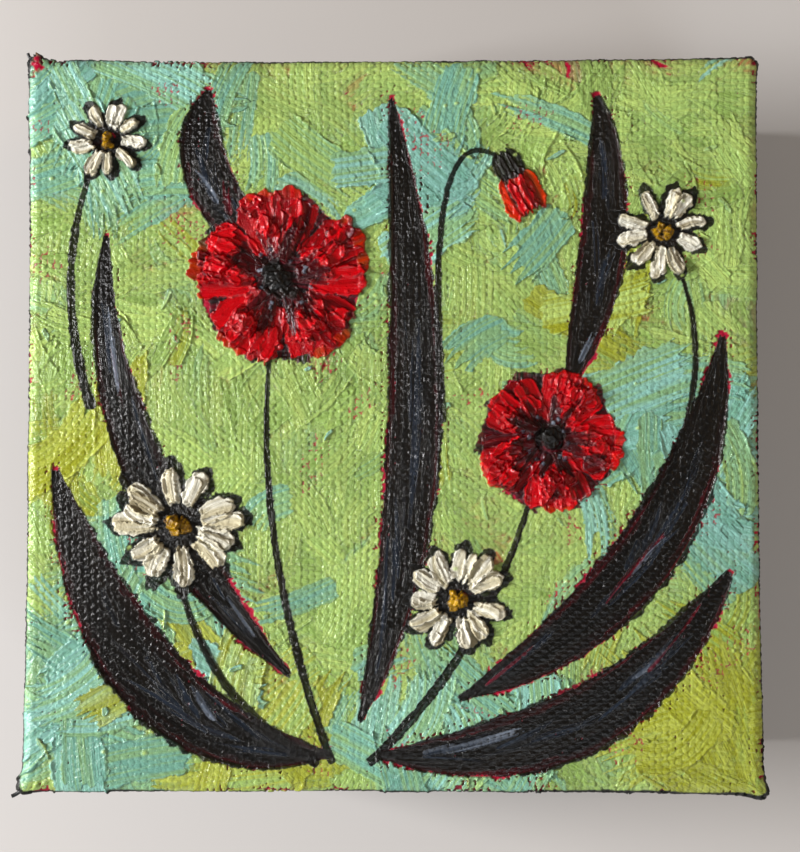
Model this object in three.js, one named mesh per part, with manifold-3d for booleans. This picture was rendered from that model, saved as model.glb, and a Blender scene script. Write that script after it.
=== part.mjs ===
// A small square oil painting on a deep stretched canvas, lying on its back.
//
// Four mitred pine bars carry one piece of cotton cloth. The cloth rolls over the bars, is folded
// at each corner, turns under behind them and is stapled there. Thick paint stands on its face:
// a brushed ground, and a spray of poppies and daisies with long dark leaves.
//
// Millimetres. +Z points up, out of the picture, and +Y to the picture's top edge. The origin is
// under the middle of the picture, on the surface that the canvas lies on.

import * as THREE from 'three';
import { mergeVertices } from 'three/addons/utils/BufferGeometryUtils.js';
import { ConvexGeometry } from 'three/addons/geometries/ConvexGeometry.js';
import Module from 'manifold-3d';

const wasm = await Module();
wasm.setup();

// The canvas
const FACE = 100;
const DEPTH = 38;
const CLOTH = 0.6;
const EDGE_ROLL = 2;
const UPRIGHT_ROUND = 0.4;
const GAP = 0.3;

// The folded cloth at the corners and behind the bars
const RETURN_WIDTH = 14;
const FOLD_WIDTH = 15;
const FOLD_THICK = { atEdge: 0.45, atCorner: 1.1 };
const PAD_THICK = 1.2;
const PAD_SIDE = 14;
const EAR_OUT = { bottomRight: 1.0, topRight: 0.5, topLeft: 0.9, bottomLeft: 1.35 };
const EAR_RADIUS = 1.7;
const EAR_LENGTH = 6.5;

// The pine bars
const BAR_WIDTH = 17;
const LIP_WIDTH = 3;
const LIP_DROP = 3.5;
const BACK_CHAMFER = 1;

// The staples
const STAPLE = { crown: 10, wire: 1.2, thick: 0.5 };
const STAPLES_PER_SIDE = 3;
const STAPLE_PITCH = 21;

// The paint, in layers over the cloth
const GROUND_MARGIN = 2.2;
const GROUND_THICK = 0.3;
const STROKE_THICK = 0.3;
const STROKE_COUNT = 13;

// Heights and offsets that follow from these
const half = FACE / 2;
const rollCore = half - EDGE_ROLL;
const clothBack = PAD_THICK;
const barsOut = half - CLOTH - GAP;
const barsRound = EDGE_ROLL - CLOTH - GAP;
const barsBack = clothBack + CLOTH + GAP;
const barsFront = DEPTH - CLOTH - GAP;
const groundBase = DEPTH + GAP;
const groundTop = groundBase + GROUND_THICK;
const motifBase = groundTop + GAP;
const TURN = Math.PI * 2;

const finish = (color, roughness, metalness = 0) =>
  new THREE.MeshStandardMaterial({ color, roughness, metalness });

const blackCloth = () => finish(0x17181a, 0.75);
const pine = () => finish(0xd9b683, 0.7);
const steel = () => finish(0xb9bcc0, 0.35, 1);
const greenPaint = () => finish(0x95b26c, 0.5);
const redPaint = () => finish(0xa81216, 0.3);
const whitePaint = () => finish(0xd8cfbe, 0.4);
const blackPaint = () => finish(0x191a1a, 0.4);
const ochrePaint = () => finish(0xa8861f, 0.45);

// Joining and cutting

function solidOf(geometry) {
  const bare = new THREE.BufferGeometry();
  bare.setAttribute('position', geometry.getAttribute('position').clone());
  if (geometry.index) {
    bare.setIndex(geometry.index.clone());
  }
  const merged = mergeVertices(bare, 1e-4);
  return new wasm.Manifold(new wasm.Mesh({
    numProp: 3,
    vertProperties: new Float32Array(merged.getAttribute('position').array),
    triVerts: new Uint32Array(merged.index.array),
  }));
}

function largestPiece(solid) {
  return solid.decompose().reduce((best, piece) => (piece.volume() > best.volume() ? piece : best));
}

function joined(solids) {
  return solids.reduce((sum, solid) => sum.add(solid));
}

function meshOf(name, solid, material) {
  const data = largestPiece(solid).getMesh();
  const geometry = new THREE.BufferGeometry();
  geometry.setAttribute('position', new THREE.BufferAttribute(new Float32Array(data.vertProperties), 3));
  geometry.setIndex(new THREE.BufferAttribute(new Uint32Array(data.triVerts), 1));
  geometry.computeVertexNormals();
  const mesh = new THREE.Mesh(geometry, material);
  mesh.name = name;
  return mesh;
}

// Every draw of chance in the model comes from this, so that it is built the same each time.
function seededDraw(seed) {
  let state = seed;
  return (low, high) => {
    state = (state * 1664525 + 1013904223) % 4294967296;
    return low + (high - low) * (state / 4294967296);
  };
}

// The cloth

function squareOutline(side, round) {
  const reach = side / 2;
  const core = reach - round;
  const outline = new THREE.Shape();
  outline.absarc(core, core, round, 0, TURN / 4);
  outline.absarc(-core, core, round, TURN / 4, TURN / 2);
  outline.absarc(-core, -core, round, TURN / 2, TURN * 3 / 4);
  outline.absarc(core, -core, round, TURN * 3 / 4, TURN);
  return outline;
}

// A block whose long edges are all rolled by the same radius, above and below.
function rolledBlock(roll, low, high) {
  const geometry = new THREE.ExtrudeGeometry(squareOutline(2 * rollCore, UPRIGHT_ROUND), {
    depth: high - low - 2 * roll,
    bevelThickness: roll,
    bevelSize: roll,
    bevelSegments: 4,
    curveSegments: 2,
  });
  return solidOf(geometry.translate(0, 0, low + roll));
}

function squarePrism(side, round, low, high) {
  const geometry = new THREE.ExtrudeGeometry(squareOutline(side, round), {
    depth: high - low,
    bevelEnabled: false,
    curveSegments: 3,
  });
  return solidOf(geometry.translate(0, 0, low));
}

function hullOf(points) {
  return solidOf(new ConvexGeometry(points.map(([x, y, z]) => new THREE.Vector3(x, y, z))));
}

function quarterTurn(solid, quarters) {
  return solid.rotate([0, 0, 90 * quarters]);
}

// The spare cloth of a corner, laid over the bottom side at its right end: a long triangle that
// is thickest along the corner.
function foldedFlap() {
  const inside = half - CLOTH / 2;
  const front = DEPTH - EDGE_ROLL;
  const back = clothBack + EDGE_ROLL / 2;
  const edgeY = half + FOLD_THICK.atEdge;
  const cornerY = half + FOLD_THICK.atCorner;
  const cornerX = half - 0.2;
  const foldX = half - FOLD_WIDTH;
  return hullOf([
    [cornerX, -inside, front], [cornerX, -edgeY, front - 1],
    [cornerX, -cornerY, front - 7], [cornerX, -cornerY, back + 1], [cornerX, -inside, back],
    [foldX, -inside, back], [foldX + 1, -edgeY, back + 1],
    [cornerX - 2, -inside, front], [cornerX - 2, -edgeY, front - 1],
  ]);
}

// The cloth that bunches up at a corner of the face, seen as a small ear from the front.
function cornerEar(outward) {
  const ear = new THREE.SphereGeometry(1, 8, 8);
  ear.rotateX(TURN / 4);
  ear.scale(EAR_RADIUS, EAR_RADIUS, EAR_LENGTH);
  const middle = half + outward * Math.SQRT1_2 - EAR_RADIUS * Math.SQRT1_2 - 0.2;
  return solidOf(ear.translate(middle, -middle, DEPTH - EAR_LENGTH));
}

// The layers folded under a back corner, which carry the canvas.
function backPad() {
  const out = half - EDGE_ROLL;
  const near = out - PAD_SIDE;
  const cut = PAD_SIDE / 2;
  const outline = [[out, -out], [out, -near], [out - cut, -near], [near, -out + cut], [near, -out]];
  const level = (z) => outline.map(([x, y]) => [x, y, z]);
  return hullOf([...level(0), ...level(clothBack + CLOTH / 2)]);
}

function stretchedCloth() {
  const outside = rolledBlock(EDGE_ROLL, clothBack, DEPTH);
  const hollow = rolledBlock(EDGE_ROLL - CLOTH, clothBack + CLOTH, DEPTH - CLOTH);
  const window = squarePrism(FACE - 2 * RETURN_WIDTH, 1, -1, clothBack + 2 * CLOTH);
  const ears = [EAR_OUT.bottomRight, EAR_OUT.topRight, EAR_OUT.topLeft, EAR_OUT.bottomLeft];
  const folds = ears.flatMap((outward, quarters) => [
    quarterTurn(foldedFlap(), quarters),
    quarterTurn(cornerEar(outward), quarters),
    quarterTurn(backPad(), quarters),
  ]);
  return joined([outside, ...folds]).subtract(hollow).subtract(window);
}

// The bars

// A bar's section, from its outer face inwards and from its back upwards. Only the outer lip of
// its front touches the cloth, and the front falls away behind the lip.
function barSection() {
  const section = new THREE.Shape();
  section.moveTo(0, barsBack);
  section.lineTo(BAR_WIDTH - BACK_CHAMFER, barsBack);
  section.lineTo(BAR_WIDTH, barsBack + BACK_CHAMFER);
  section.lineTo(BAR_WIDTH, barsFront - LIP_DROP);
  section.lineTo(LIP_WIDTH, barsFront);
  section.lineTo(0, barsFront);
  return section;
}

// The bottom bar. Its ends are cut on the mitre, so that the inner face is shorter than the outer,
// and its outer edges are eased all round, so that they don't cut the cloth.
function mitredBar(name) {
  const section = new THREE.ExtrudeGeometry(barSection(), { depth: 1, bevelEnabled: false });
  const place = section.getAttribute('position');
  const mitreGap = GAP * Math.SQRT1_2 + 0.01;
  for (let i = 0; i < place.count; i += 1) {
    const inwards = place.getX(i);
    const end = place.getZ(i) * 2 - 1;
    place.setXYZ(i, end * (barsOut - inwards - mitreGap), inwards - barsOut, place.getY(i));
  }
  return meshOf(name, solidOf(section).intersect(rolledBlock(barsRound, barsBack, barsFront)), pine());
}

const SIDES = ['bottom', 'right', 'top', 'left'];

function addBars(group) {
  SIDES.forEach((side, quarters) => {
    const bar = mitredBar(`bar_${side}`);
    bar.rotation.z = quarters * TURN / 4;
    group.add(bar);
  });
}

// The crown of a staple, driven flat onto the turned cloth and bent down a little at both ends.
function stapleCrown() {
  const { crown, wire, thick } = STAPLE;
  const outline = new THREE.Shape();
  outline.absarc(crown / 2 - wire / 2, 0, wire / 2, -TURN / 4, TURN / 4);
  outline.absarc(wire / 2 - crown / 2, 0, wire / 2, TURN / 4, TURN * 3 / 4);
  return new THREE.ExtrudeGeometry(outline, { depth: thick, bevelEnabled: false, curveSegments: 4 });
}

function addStaples(group) {
  const inset = half - RETURN_WIDTH / 2;
  const low = clothBack - GAP - STAPLE.thick;
  SIDES.forEach((side, quarters) => {
    for (let i = 0; i < STAPLES_PER_SIDE; i += 1) {
      const along = (i - (STAPLES_PER_SIDE - 1) / 2) * STAPLE_PITCH;
      const staple = meshOf(`staple_${side}_${i + 1}`, solidOf(stapleCrown()), steel());
      staple.position.set(along, -inset, low);
      const turned = new THREE.Group();
      turned.rotation.z = quarters * TURN / 4;
      turned.add(staple);
      group.add(turned);
    }
  });
}

// The paint

const keepAbove = (z) => solidOf(new THREE.BoxGeometry(FACE, FACE, 10).translate(0, 0, z + 5));

// A mound of paint of elliptical plan, standing on the plane z.
function mound({ x, y, along, across, height, angle = 0 }, z, grow = 0) {
  const isSlim = across < along / 2;
  const dome = new THREE.SphereGeometry(1, isSlim ? 8 : 10, isSlim ? 4 : 6);
  dome.rotateX(TURN / 4);
  dome.scale(along + grow, across + grow, height + grow * 4);
  dome.rotateZ(angle);
  return solidOf(dome.translate(x, y, z)).intersect(keepAbove(z));
}

// A long tapering stroke that follows a curve across the canvas.
function longStroke({ from, bend, to, width, height }, z, grow = 0) {
  const spine = new THREE.QuadraticBezierCurve(
    new THREE.Vector2(...from), new THREE.Vector2(...bend), new THREE.Vector2(...to));
  const body = new THREE.SphereGeometry(1, 6, 10);
  const place = body.getAttribute('position');
  for (let i = 0; i < place.count; i += 1) {
    const t = (1 + place.getY(i)) / 2;
    const middle = spine.getPoint(t);
    const heading = spine.getTangent(t);
    const taper = 1 - 0.35 * t;
    const sideways = place.getX(i) * (width / 2 * taper + grow);
    const up = place.getZ(i) * (height + grow * 4);
    place.setXYZ(i, middle.x + heading.y * sideways, middle.y - heading.x * sideways, z + up);
  }
  return solidOf(body).intersect(keepAbove(z));
}

const LEAVES = [
  { name: 'leaf_low_left', from: [-9, -45], bend: [-37, -44], to: [-46, -6], width: 11 },
  { name: 'leaf_low_right', from: [-1, -45], bend: [30, -47], to: [46, -20], width: 10 },
  { name: 'leaf_tall', from: [-4, -40], bend: [8, -6], to: [0, 45], width: 8 },
  { name: 'leaf_right', from: [10, -37], bend: [42, -22], to: [45, 12], width: 9.5 },
  { name: 'leaf_left', from: [-14, -34], bend: [-42, -6], to: [-39, 26], width: 6.5 },
  { name: 'leaf_top_left', from: [-18, 24], bend: [-29, 34], to: [-25, 46], width: 7.5 },
  { name: 'leaf_top_right', from: [24, 4], bend: [32, 28], to: [28, 45], width: 7 },
];
const STEMS = [
  { name: 'stem_big_poppy', from: [-8, -46], bend: [-20, -14], to: [-16, 14] },
  { name: 'stem_small_poppy', from: [-3, -46], bend: [14, -30], to: [20, -6] },
  { name: 'stem_bud', from: [7, 0], bend: [4, 44], to: [15, 36] },
];
const POPPIES = [
  { name: 'poppy_big', x: -15, y: 19, radius: 13.5, petals: 5, start: 0.35 },
  { name: 'poppy_small', x: 21, y: -2, radius: 11, petals: 5, start: 1.1 },
];
const DAISIES = [
  { name: 'daisy_left', x: -29, y: -14, radius: 9.5, petals: 12, start: 0.1 },
  { name: 'daisy_low', x: 9, y: -24, radius: 8, petals: 11, start: 0.3 },
  { name: 'daisy_right', x: 37, y: 26, radius: 7, petals: 10, start: 0.2 },
  { name: 'daisy_top', x: -39, y: 39, radius: 6, petals: 9, start: 0.6 },
];
const BUD = { x: 18, y: 31, along: 4.4, across: 3, height: 1.1, angle: -1.1 };
const BUD_CAP = { x: 16, y: 35, along: 2.6, across: 2.2, height: 0.9, angle: -1.1 };
const LEAF_HEIGHT = 0.45;
const STEM = { width: 1.3, height: 0.35 };

// Each petal is a broad low mound with three thicker dabs of the brush across it.
function poppyPetals({ x, y, radius, petals, start }, z, grow = 0) {
  const mounds = [mound({ x, y, along: radius * 0.5, across: radius * 0.5, height: 0.7 }, z, grow)];
  for (let i = 0; i < petals; i += 1) {
    const angle = start + i * TURN / petals;
    const petal = {
      x: x + Math.cos(angle) * radius * 0.53,
      y: y + Math.sin(angle) * radius * 0.53,
      along: radius * 0.46,
      across: radius * 0.44,
      height: 0.9,
      angle,
    };
    mounds.push(mound(petal, z, grow));
    for (const aside of [-0.4, 0, 0.4]) {
      const lean = angle + aside;
      const dab = {
        x: x + Math.cos(lean) * radius * 0.66,
        y: y + Math.sin(lean) * radius * 0.66,
        along: radius * 0.24,
        across: radius * 0.1,
        height: 1.3,
        angle: lean,
      };
      mounds.push(mound(dab, z, grow));
    }
  }
  return joined(mounds);
}

function daisyPetals({ x, y, radius, petals, start }, z, grow = 0) {
  const mounds = [mound({ x, y, along: radius * 0.42, across: radius * 0.42, height: 0.5 }, z, grow)];
  for (let i = 0; i < petals; i += 1) {
    const angle = start + i * TURN / petals;
    const petal = {
      x: x + Math.cos(angle) * radius * 0.64,
      y: y + Math.sin(angle) * radius * 0.64,
      along: radius * 0.36,
      across: radius * 0.13,
      height: 1,
      angle,
    };
    mounds.push(mound(petal, z, grow));
  }
  return joined(mounds);
}

const flowerCentre = ({ x, y, radius }, share, height) => (
  { x, y, along: radius * share, across: radius * share, height });

// All the painted shapes, from the one on top to the one lowest down. Each knows how to make
// itself, wider by any amount, so that it can be cut clear of the ones over it.
function paintedShapes() {
  const shapes = [];
  const add = (name, material, make) => shapes.push({ name, material, make });
  for (const poppy of POPPIES) {
    const centre = flowerCentre(poppy, 0.27, 1.1);
    add(`${poppy.name}_centre`, blackPaint(), (z, grow) => mound(centre, z, grow));
    add(`${poppy.name}_petals`, redPaint(), (z, grow) => poppyPetals(poppy, z, grow));
  }
  for (const daisy of DAISIES) {
    const centre = flowerCentre(daisy, 0.24, 0.9);
    add(`${daisy.name}_centre`, ochrePaint(), (z, grow) => mound(centre, z, grow));
    add(`${daisy.name}_petals`, whitePaint(), (z, grow) => daisyPetals(daisy, z, grow));
  }
  add('bud_cap', blackPaint(), (z, grow) => mound(BUD_CAP, z, grow));
  add('bud', redPaint(), (z, grow) => mound(BUD, z, grow));
  for (const leaf of LEAVES) {
    add(leaf.name, blackPaint(), (z, grow) => longStroke({ ...leaf, height: LEAF_HEIGHT }, z, grow));
  }
  for (const stem of STEMS) {
    add(stem.name, blackPaint(), (z, grow) => longStroke({ ...stem, ...STEM }, z, grow));
  }
  return shapes;
}

// Adds the painted shapes, and gives back everything that the ground must keep clear of.
function addMotifs(group) {
  let above = null;
  for (const shape of paintedShapes()) {
    const whole = shape.make(motifBase, 0);
    group.add(meshOf(shape.name, above ? whole.subtract(above) : whole, shape.material));
    const clear = shape.make(motifBase - GAP, GAP * 1.15);
    above = above ? above.add(clear) : clear;
  }
  return above;
}

// The ground is a thin film over the face, with broad loaded strokes of the brush on it.
function addGround(group, motifs) {
  const draw = seededDraw(11);
  const strokes = [];
  for (let i = 0; i < STROKE_COUNT; i += 1) {
    const x = draw(-38, 38);
    const y = draw(-38, 38);
    const angle = draw(0, TURN);
    const reach = draw(6, 11);
    const turn = draw(-4, 4);
    const east = Math.cos(angle);
    const north = Math.sin(angle);
    strokes.push(longStroke({
      from: [x - east * reach, y - north * reach],
      bend: [x - north * turn, y + east * turn],
      to: [x + east * reach, y + north * reach],
      width: draw(4, 6.5),
      height: STROKE_THICK + GROUND_THICK / 2,
    }, groundTop - GROUND_THICK / 2));
  }
  const face = FACE - 2 * GROUND_MARGIN;
  const film = squarePrism(face, 1, groundBase, groundTop);
  const inside = squarePrism(face, 1, groundBase, groundTop + 2);
  const raised = joined(strokes).intersect(inside).subtract(motifs);
  group.add(meshOf('ground', film.add(raised), greenPaint()));
}

const painting = new THREE.Group();
painting.name = 'painted_canvas';
painting.add(meshOf('canvas', stretchedCloth(), blackCloth()));
addBars(painting);
addStaples(painting);
addGround(painting, addMotifs(painting));

export default painting;
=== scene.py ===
# %% [markdown]
# # A small oil painting on a deep stretched canvas
#
# The object is a 10 cm square of cotton canvas, stretched over four pine bars that are nearly 4 cm
# deep. Its sides are painted black, and its face carries thick paint: a brushed green ground, and a
# spray of poppies and daisies with long dark leaves. It lies on its back, and is seen from almost
# straight above in light from the left.
#
# What makes such a thing look real is that the paint has a shape. Each mark of the brush has
# ridges where the bristles ran, lips where paint was pushed aside, and thin places where the weave
# of the cotton shows. So this lesson paints the picture stroke by stroke, in layers, as a height
# and a colour for each point of the cloth, and then makes a mesh of the result.

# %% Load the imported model
import math
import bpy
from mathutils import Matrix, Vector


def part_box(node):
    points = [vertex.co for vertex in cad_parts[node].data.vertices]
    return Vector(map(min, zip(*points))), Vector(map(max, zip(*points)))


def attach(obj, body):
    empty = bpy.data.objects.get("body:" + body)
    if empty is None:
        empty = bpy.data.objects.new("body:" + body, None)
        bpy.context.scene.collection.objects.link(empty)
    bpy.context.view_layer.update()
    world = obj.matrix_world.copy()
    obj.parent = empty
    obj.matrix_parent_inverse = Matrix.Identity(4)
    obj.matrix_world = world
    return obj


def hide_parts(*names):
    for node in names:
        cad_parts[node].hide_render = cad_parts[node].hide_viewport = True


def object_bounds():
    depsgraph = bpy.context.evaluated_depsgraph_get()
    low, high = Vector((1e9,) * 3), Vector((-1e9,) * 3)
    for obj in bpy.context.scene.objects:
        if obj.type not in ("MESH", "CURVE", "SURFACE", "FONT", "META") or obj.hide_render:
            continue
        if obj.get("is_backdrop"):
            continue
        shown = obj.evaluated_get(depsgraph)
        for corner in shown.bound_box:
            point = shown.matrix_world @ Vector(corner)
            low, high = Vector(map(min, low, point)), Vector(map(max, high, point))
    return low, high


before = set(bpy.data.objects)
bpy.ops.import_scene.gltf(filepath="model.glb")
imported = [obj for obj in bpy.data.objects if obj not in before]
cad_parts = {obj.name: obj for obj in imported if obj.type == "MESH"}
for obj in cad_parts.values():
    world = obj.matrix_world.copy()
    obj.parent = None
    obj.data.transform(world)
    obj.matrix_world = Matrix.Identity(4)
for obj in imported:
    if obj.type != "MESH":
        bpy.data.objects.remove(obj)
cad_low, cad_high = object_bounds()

from types import SimpleNamespace

import bmesh
import bpy
import numpy as np
from mathutils import Vector

# %% [markdown]
# ## Sizes
#
# All making is done in millimetres, because the marks of a brush are a few millimetres across, and
# each mesh is scaled to metres as it is stored. The canvas's own sizes come from the solids: the
# outer face of the bars gives the cloth's place, and the top of the cloth gives the depth.

# %% Sizes that come from the solids
MM = 0.001
CLOTH = 0.6
GAP = 0.3
ROLL = 1.4


def box_mm(node):
    """The lowest and highest corners of a solid, in millimetres."""
    low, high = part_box(node)
    return np.array(low) / MM, np.array(high) / MM


bar_low, bar_high = box_mm("bar_bottom")
HALF = -bar_low[1] + CLOTH + GAP
FACE_Z = box_mm("canvas")[1][2]
BACK_Z = bar_low[2] - CLOTH - GAP
FLAT = HALF - ROLL
print(f"half side {HALF:.1f} mm, face at {FACE_Z:.1f} mm, turned cloth at {BACK_Z:.1f} mm")

# %% [markdown]
# ## The camera
#
# The camera comes first, because everything is judged through it. The photo looks almost straight
# down, a little from the lower right. The four corners of the picture give its place and turn: the
# side of the square is about 725 pixels long at a focal length of 1300 pixels, so the lens is
# about 18 cm above the paint.

# %% Camera
PHOTO_HEIGHT_PX = 852
FOCAL_PX = 1300
CAMERA_PLACE_MM = (4.2, -6.5, 214.6)
CAMERA_TURN_DEG = (1.955, 0.987, -0.03)
SENSOR_MM = 36

camera_data = bpy.data.cameras.new("camera")
camera_data.sensor_width = SENSOR_MM
camera_data.lens = FOCAL_PX * SENSOR_MM / PHOTO_HEIGHT_PX
camera_data.clip_start = 0.01
camera = bpy.data.objects.new("camera", camera_data)
camera.location = [value * MM for value in CAMERA_PLACE_MM]
camera.rotation_euler = [math.radians(value) for value in CAMERA_TURN_DEG]
bpy.context.scene.collection.objects.link(camera)
bpy.context.scene.camera = camera
print(f"lens {camera_data.lens:.1f} mm")

# %% [markdown]
# ## The sheet of samples
#
# The painted cloth is one sheet that bends down over the bars' edges. It is easiest to paint it
# flat: a square grid of samples, an eighth of a millimetre apart, each with its place on the flat
# sheet. Later the same grid is bent over the edges. Three by three tiles share it out, so that no
# single mesh is too heavy.

# %% The grid of samples
TILES = 3
TILE_CELLS = 270
REACH = FLAT + ROLL * math.pi / 2
SAMPLES = TILES * TILE_CELLS + 1
STEP = 2 * REACH / (SAMPLES - 1)

line = (np.arange(SAMPLES) * STEP - REACH).astype(np.float32)
sheet_x, sheet_y = np.meshgrid(line, line)
print(f"{SAMPLES} x {SAMPLES} samples, {STEP:.3f} mm apart")

# %% [markdown]
# ## Smooth noise
#
# Bristles, threads and mixed paint all need noise that is smooth at one scale. One table of random
# numbers is enough: a place between its cells takes a smooth blend of the four around it, and each
# use starts at another corner of the table. Everything is drawn from fixed seeds, so the picture
# is the same each time.

# %% Noise helpers
TABLE = 256
speckle = np.random.default_rng(7).random((TABLE, TABLE)).astype(np.float32)


def wisps(u, v, seed=0):
    """Smooth noise from 0 to 1, with one cell for each unit of u and v."""
    u = u + seed * 37.73 % TABLE
    v = v + seed * 91.17 % TABLE
    column, row = np.floor(u).astype(np.int32), np.floor(v).astype(np.int32)
    u, v = u - column, v - row
    u, v = u * u * (3 - 2 * u), v * v * (3 - 2 * v)
    column, row = column % TABLE, row % TABLE
    right, above = (column + 1) % TABLE, (row + 1) % TABLE
    low = speckle[row, column] * (1 - u) + speckle[row, right] * u
    high = speckle[above, column] * (1 - u) + speckle[above, right] * u
    return low * (1 - v) + high * v


def rise(value, low, high):
    """0 below low, 1 above high, and a smooth step between."""
    t = np.clip((value - low) / (high - low), 0, 1)
    return t * t * (3 - 2 * t)


def hue(red, green, blue):
    """A colour as read on a screen, from 0 to 255, as the linear light that paint sends back."""
    shade = np.array([red, green, blue]) / 255
    return np.where(shade <= 0.04045, shade / 12.92, ((shade + 0.055) / 1.055) ** 2.4).astype(np.float32)


# %% [markdown]
# ## The weave
#
# Artists' cotton is a plain weave. The threads that run up the picture are thick and 0.90 mm
# apart, and the ones across are finer and 0.58 mm apart. Each dips under and over the other, so the
# surface is a chequerboard of small nubs. The thick threads make the tall ones. The height of each
# thread is a round back plus a wave, and whichever thread is higher is the one that shows. Uneven
# spinning makes some stretches of a thread thicker.

# %% Weave of the cotton
WARP_MM = 0.90
WEFT_MM = 0.58
WEAVE_HEIGHT = 0.2


def thread_back(offset, thickness):
    """The round back of a thread, from its middle outwards."""
    return thickness * np.sqrt(np.maximum(1 - 0.9 * offset**2, 0))


def woven(x, y):
    """The height of the cotton, from about 0 to 1, at places given in millimetres."""
    x = x + 0.3 * (wisps(y / 7, x / 30, 3) - 0.5)
    y = y + 0.25 * (wisps(x / 7, y / 30, 4) - 0.5)
    warp, weft = np.round(x / WARP_MM), np.round(y / WEFT_MM)
    warp_thick = 0.35 + 0.3 * wisps(warp * 3.7, y / 5, 5)
    weft_thick = 0.15 + 0.2 * wisps(weft * 5.1, x / 5, 6)
    up = 0.5 * np.cos(math.pi * (y / WEFT_MM + warp))
    up = up + thread_back(2 * (x / WARP_MM - warp), warp_thick)
    over = -0.36 * np.cos(math.pi * (x / WARP_MM + weft))
    over = over + thread_back(2 * (y / WEFT_MM - weft), weft_thick)
    height = np.maximum(up, over)
    return ((height + 0.2) / 1.2).clip(0, 1).astype(np.float32)


weave = woven(sheet_x, sheet_y)
print(f"{2 * HALF / WARP_MM:.0f} threads across, {2 * HALF / WEFT_MM:.0f} up the picture")

# %% [markdown]
# ## Colours on the palette
#
# About twenty mixed colours cover the whole picture. The ground is a chalky yellow-green with
# sea-green and turquoise worked into it, the motifs are black, red and cream.

# %% Palette
CRIMSON = hue(178, 34, 60)
WINE = hue(116, 20, 36)
GREEN = hue(152, 180, 104)
MOSS = hue(132, 160, 84)
LIME = hue(174, 196, 112)
SEA = hue(134, 172, 124)
TURQUOISE = hue(116, 166, 148)
SKY = hue(140, 190, 178)
OCHRE = hue(146, 150, 48)
LEMON = hue(168, 175, 78)
BLACK = hue(6, 5, 4)
UMBER = hue(23, 17, 10)
SLATE = hue(36, 45, 58)
MIST = hue(140, 150, 166)
SCARLET = hue(198, 14, 22)
RED = hue(148, 6, 12)
BLOOD = hue(66, 2, 6)
CREAM = hue(235, 231, 215)
SAND = hue(196, 186, 155)
TAN = hue(144, 133, 106)
GOLD = hue(186, 142, 34)
BISTRE = hue(88, 60, 28)

# %% [markdown]
# ## What the sheet remembers
#
# For every sample the sheet keeps how thick the paint is, how far it has filled the weave, its
# colour, its gloss, and where it lies along and across the stroke that was laid last. The last two
# let the material draw bristle lines that are finer than the mesh. The sheet starts with a thin,
# blotchy wash of crimson over its priming, which will show wherever later paint misses it.

# %% Primed sheet with its crimson wash
thickness = 0.02 * wisps(sheet_x / 0.9, sheet_y / 5, 2)
filled = np.full_like(thickness, 0.08)
gloss = np.full_like(thickness, 0.4)
blotch = wisps(sheet_x / 6, sheet_y / 2.2, 1)[..., None]
colour = (CRIMSON * (0.55 + 0.45 * blotch) + WINE * 0.45 * (1 - blotch)).astype(np.float32)
stroke_along = np.zeros_like(thickness)
stroke_across = np.zeros_like(thickness)

# %% [markdown]
# ## One stroke of the brush
#
# A stroke follows a path. For each sample near it we need how far along the path it is and how far
# aside, which is a search for the nearest piece of the path. From these two numbers comes
# everything else.
#
# - The bristles carry uneven amounts, so the paint lies in lines that run along the stroke.
# - The brush pushes paint to its sides and leaves a lip there, and another where it lifts.
# - It runs out as it goes. Dry bristles touch only the tops of the weave, so the end breaks up.
# - A thin film lets the colour under it show, and a thick one hides it. Black hides even when thin.
# - It combs down what lies under it, and picks up some of its colour.
#
# Each of these has a setting. `hair` is the width of a bristle's line, `lip` the height of the lips
# and `dry` how empty the brush is. `film` is the thickness that hides what lies under, `level` how
# far that is combed flat, and `pickup` how much of its colour is taken. `streaks` keeps the two
# hues apart. `taper` and `pinch` narrow the stroke to its end or to both ends, and `ragged` and
# `wobble` roughen its end and its sides.

# %% Samples near a path
def near(path, reach):
    """The window of the sheet round a path, with how far along and aside each sample in it is."""
    path = np.asarray(path, np.float32)
    low = np.clip(((path.min(0) - reach + REACH) / STEP).astype(int), 0, SAMPLES)
    high = np.clip(((path.max(0) + reach + REACH) / STEP).astype(int) + 2, 0, SAMPLES)
    window = slice(low[1], high[1]), slice(low[0], high[0])
    x, y = sheet_x[window], sheet_y[window]
    best = np.full(x.shape, np.inf, np.float32)
    along, aside, done = np.zeros_like(x), np.zeros_like(x), 0.0
    pieces = np.diff(path, axis=0)
    for index, (start, piece) in enumerate(zip(path, pieces)):
        length = max(float(np.hypot(*piece)), 1e-6)
        east, north = piece / length
        from_x, from_y = x - start[0], y - start[1]
        forward = from_x * east + from_y * north
        first = -np.inf if index == 0 else 0
        last = np.inf if index == len(pieces) - 1 else length
        held = np.clip(forward, first, last)
        far = (from_x - held * east) ** 2 + (from_y - held * north) ** 2
        closer = far < best
        best = np.where(closer, far, best)
        along = np.where(closer, done + held, along)
        aside = np.where(closer, from_x * north - from_y * east, aside)
        done += length
    return window, along, aside, done


def curve(start, bend, end, points):
    """Points along a bent path."""
    t = np.linspace(0, 1, points)[:, None]
    start, bend, end = (np.asarray(place, float) for place in (start, bend, end))
    return (1 - t) ** 2 * start + 2 * t * (1 - t) * bend + t**2 * end


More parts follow.
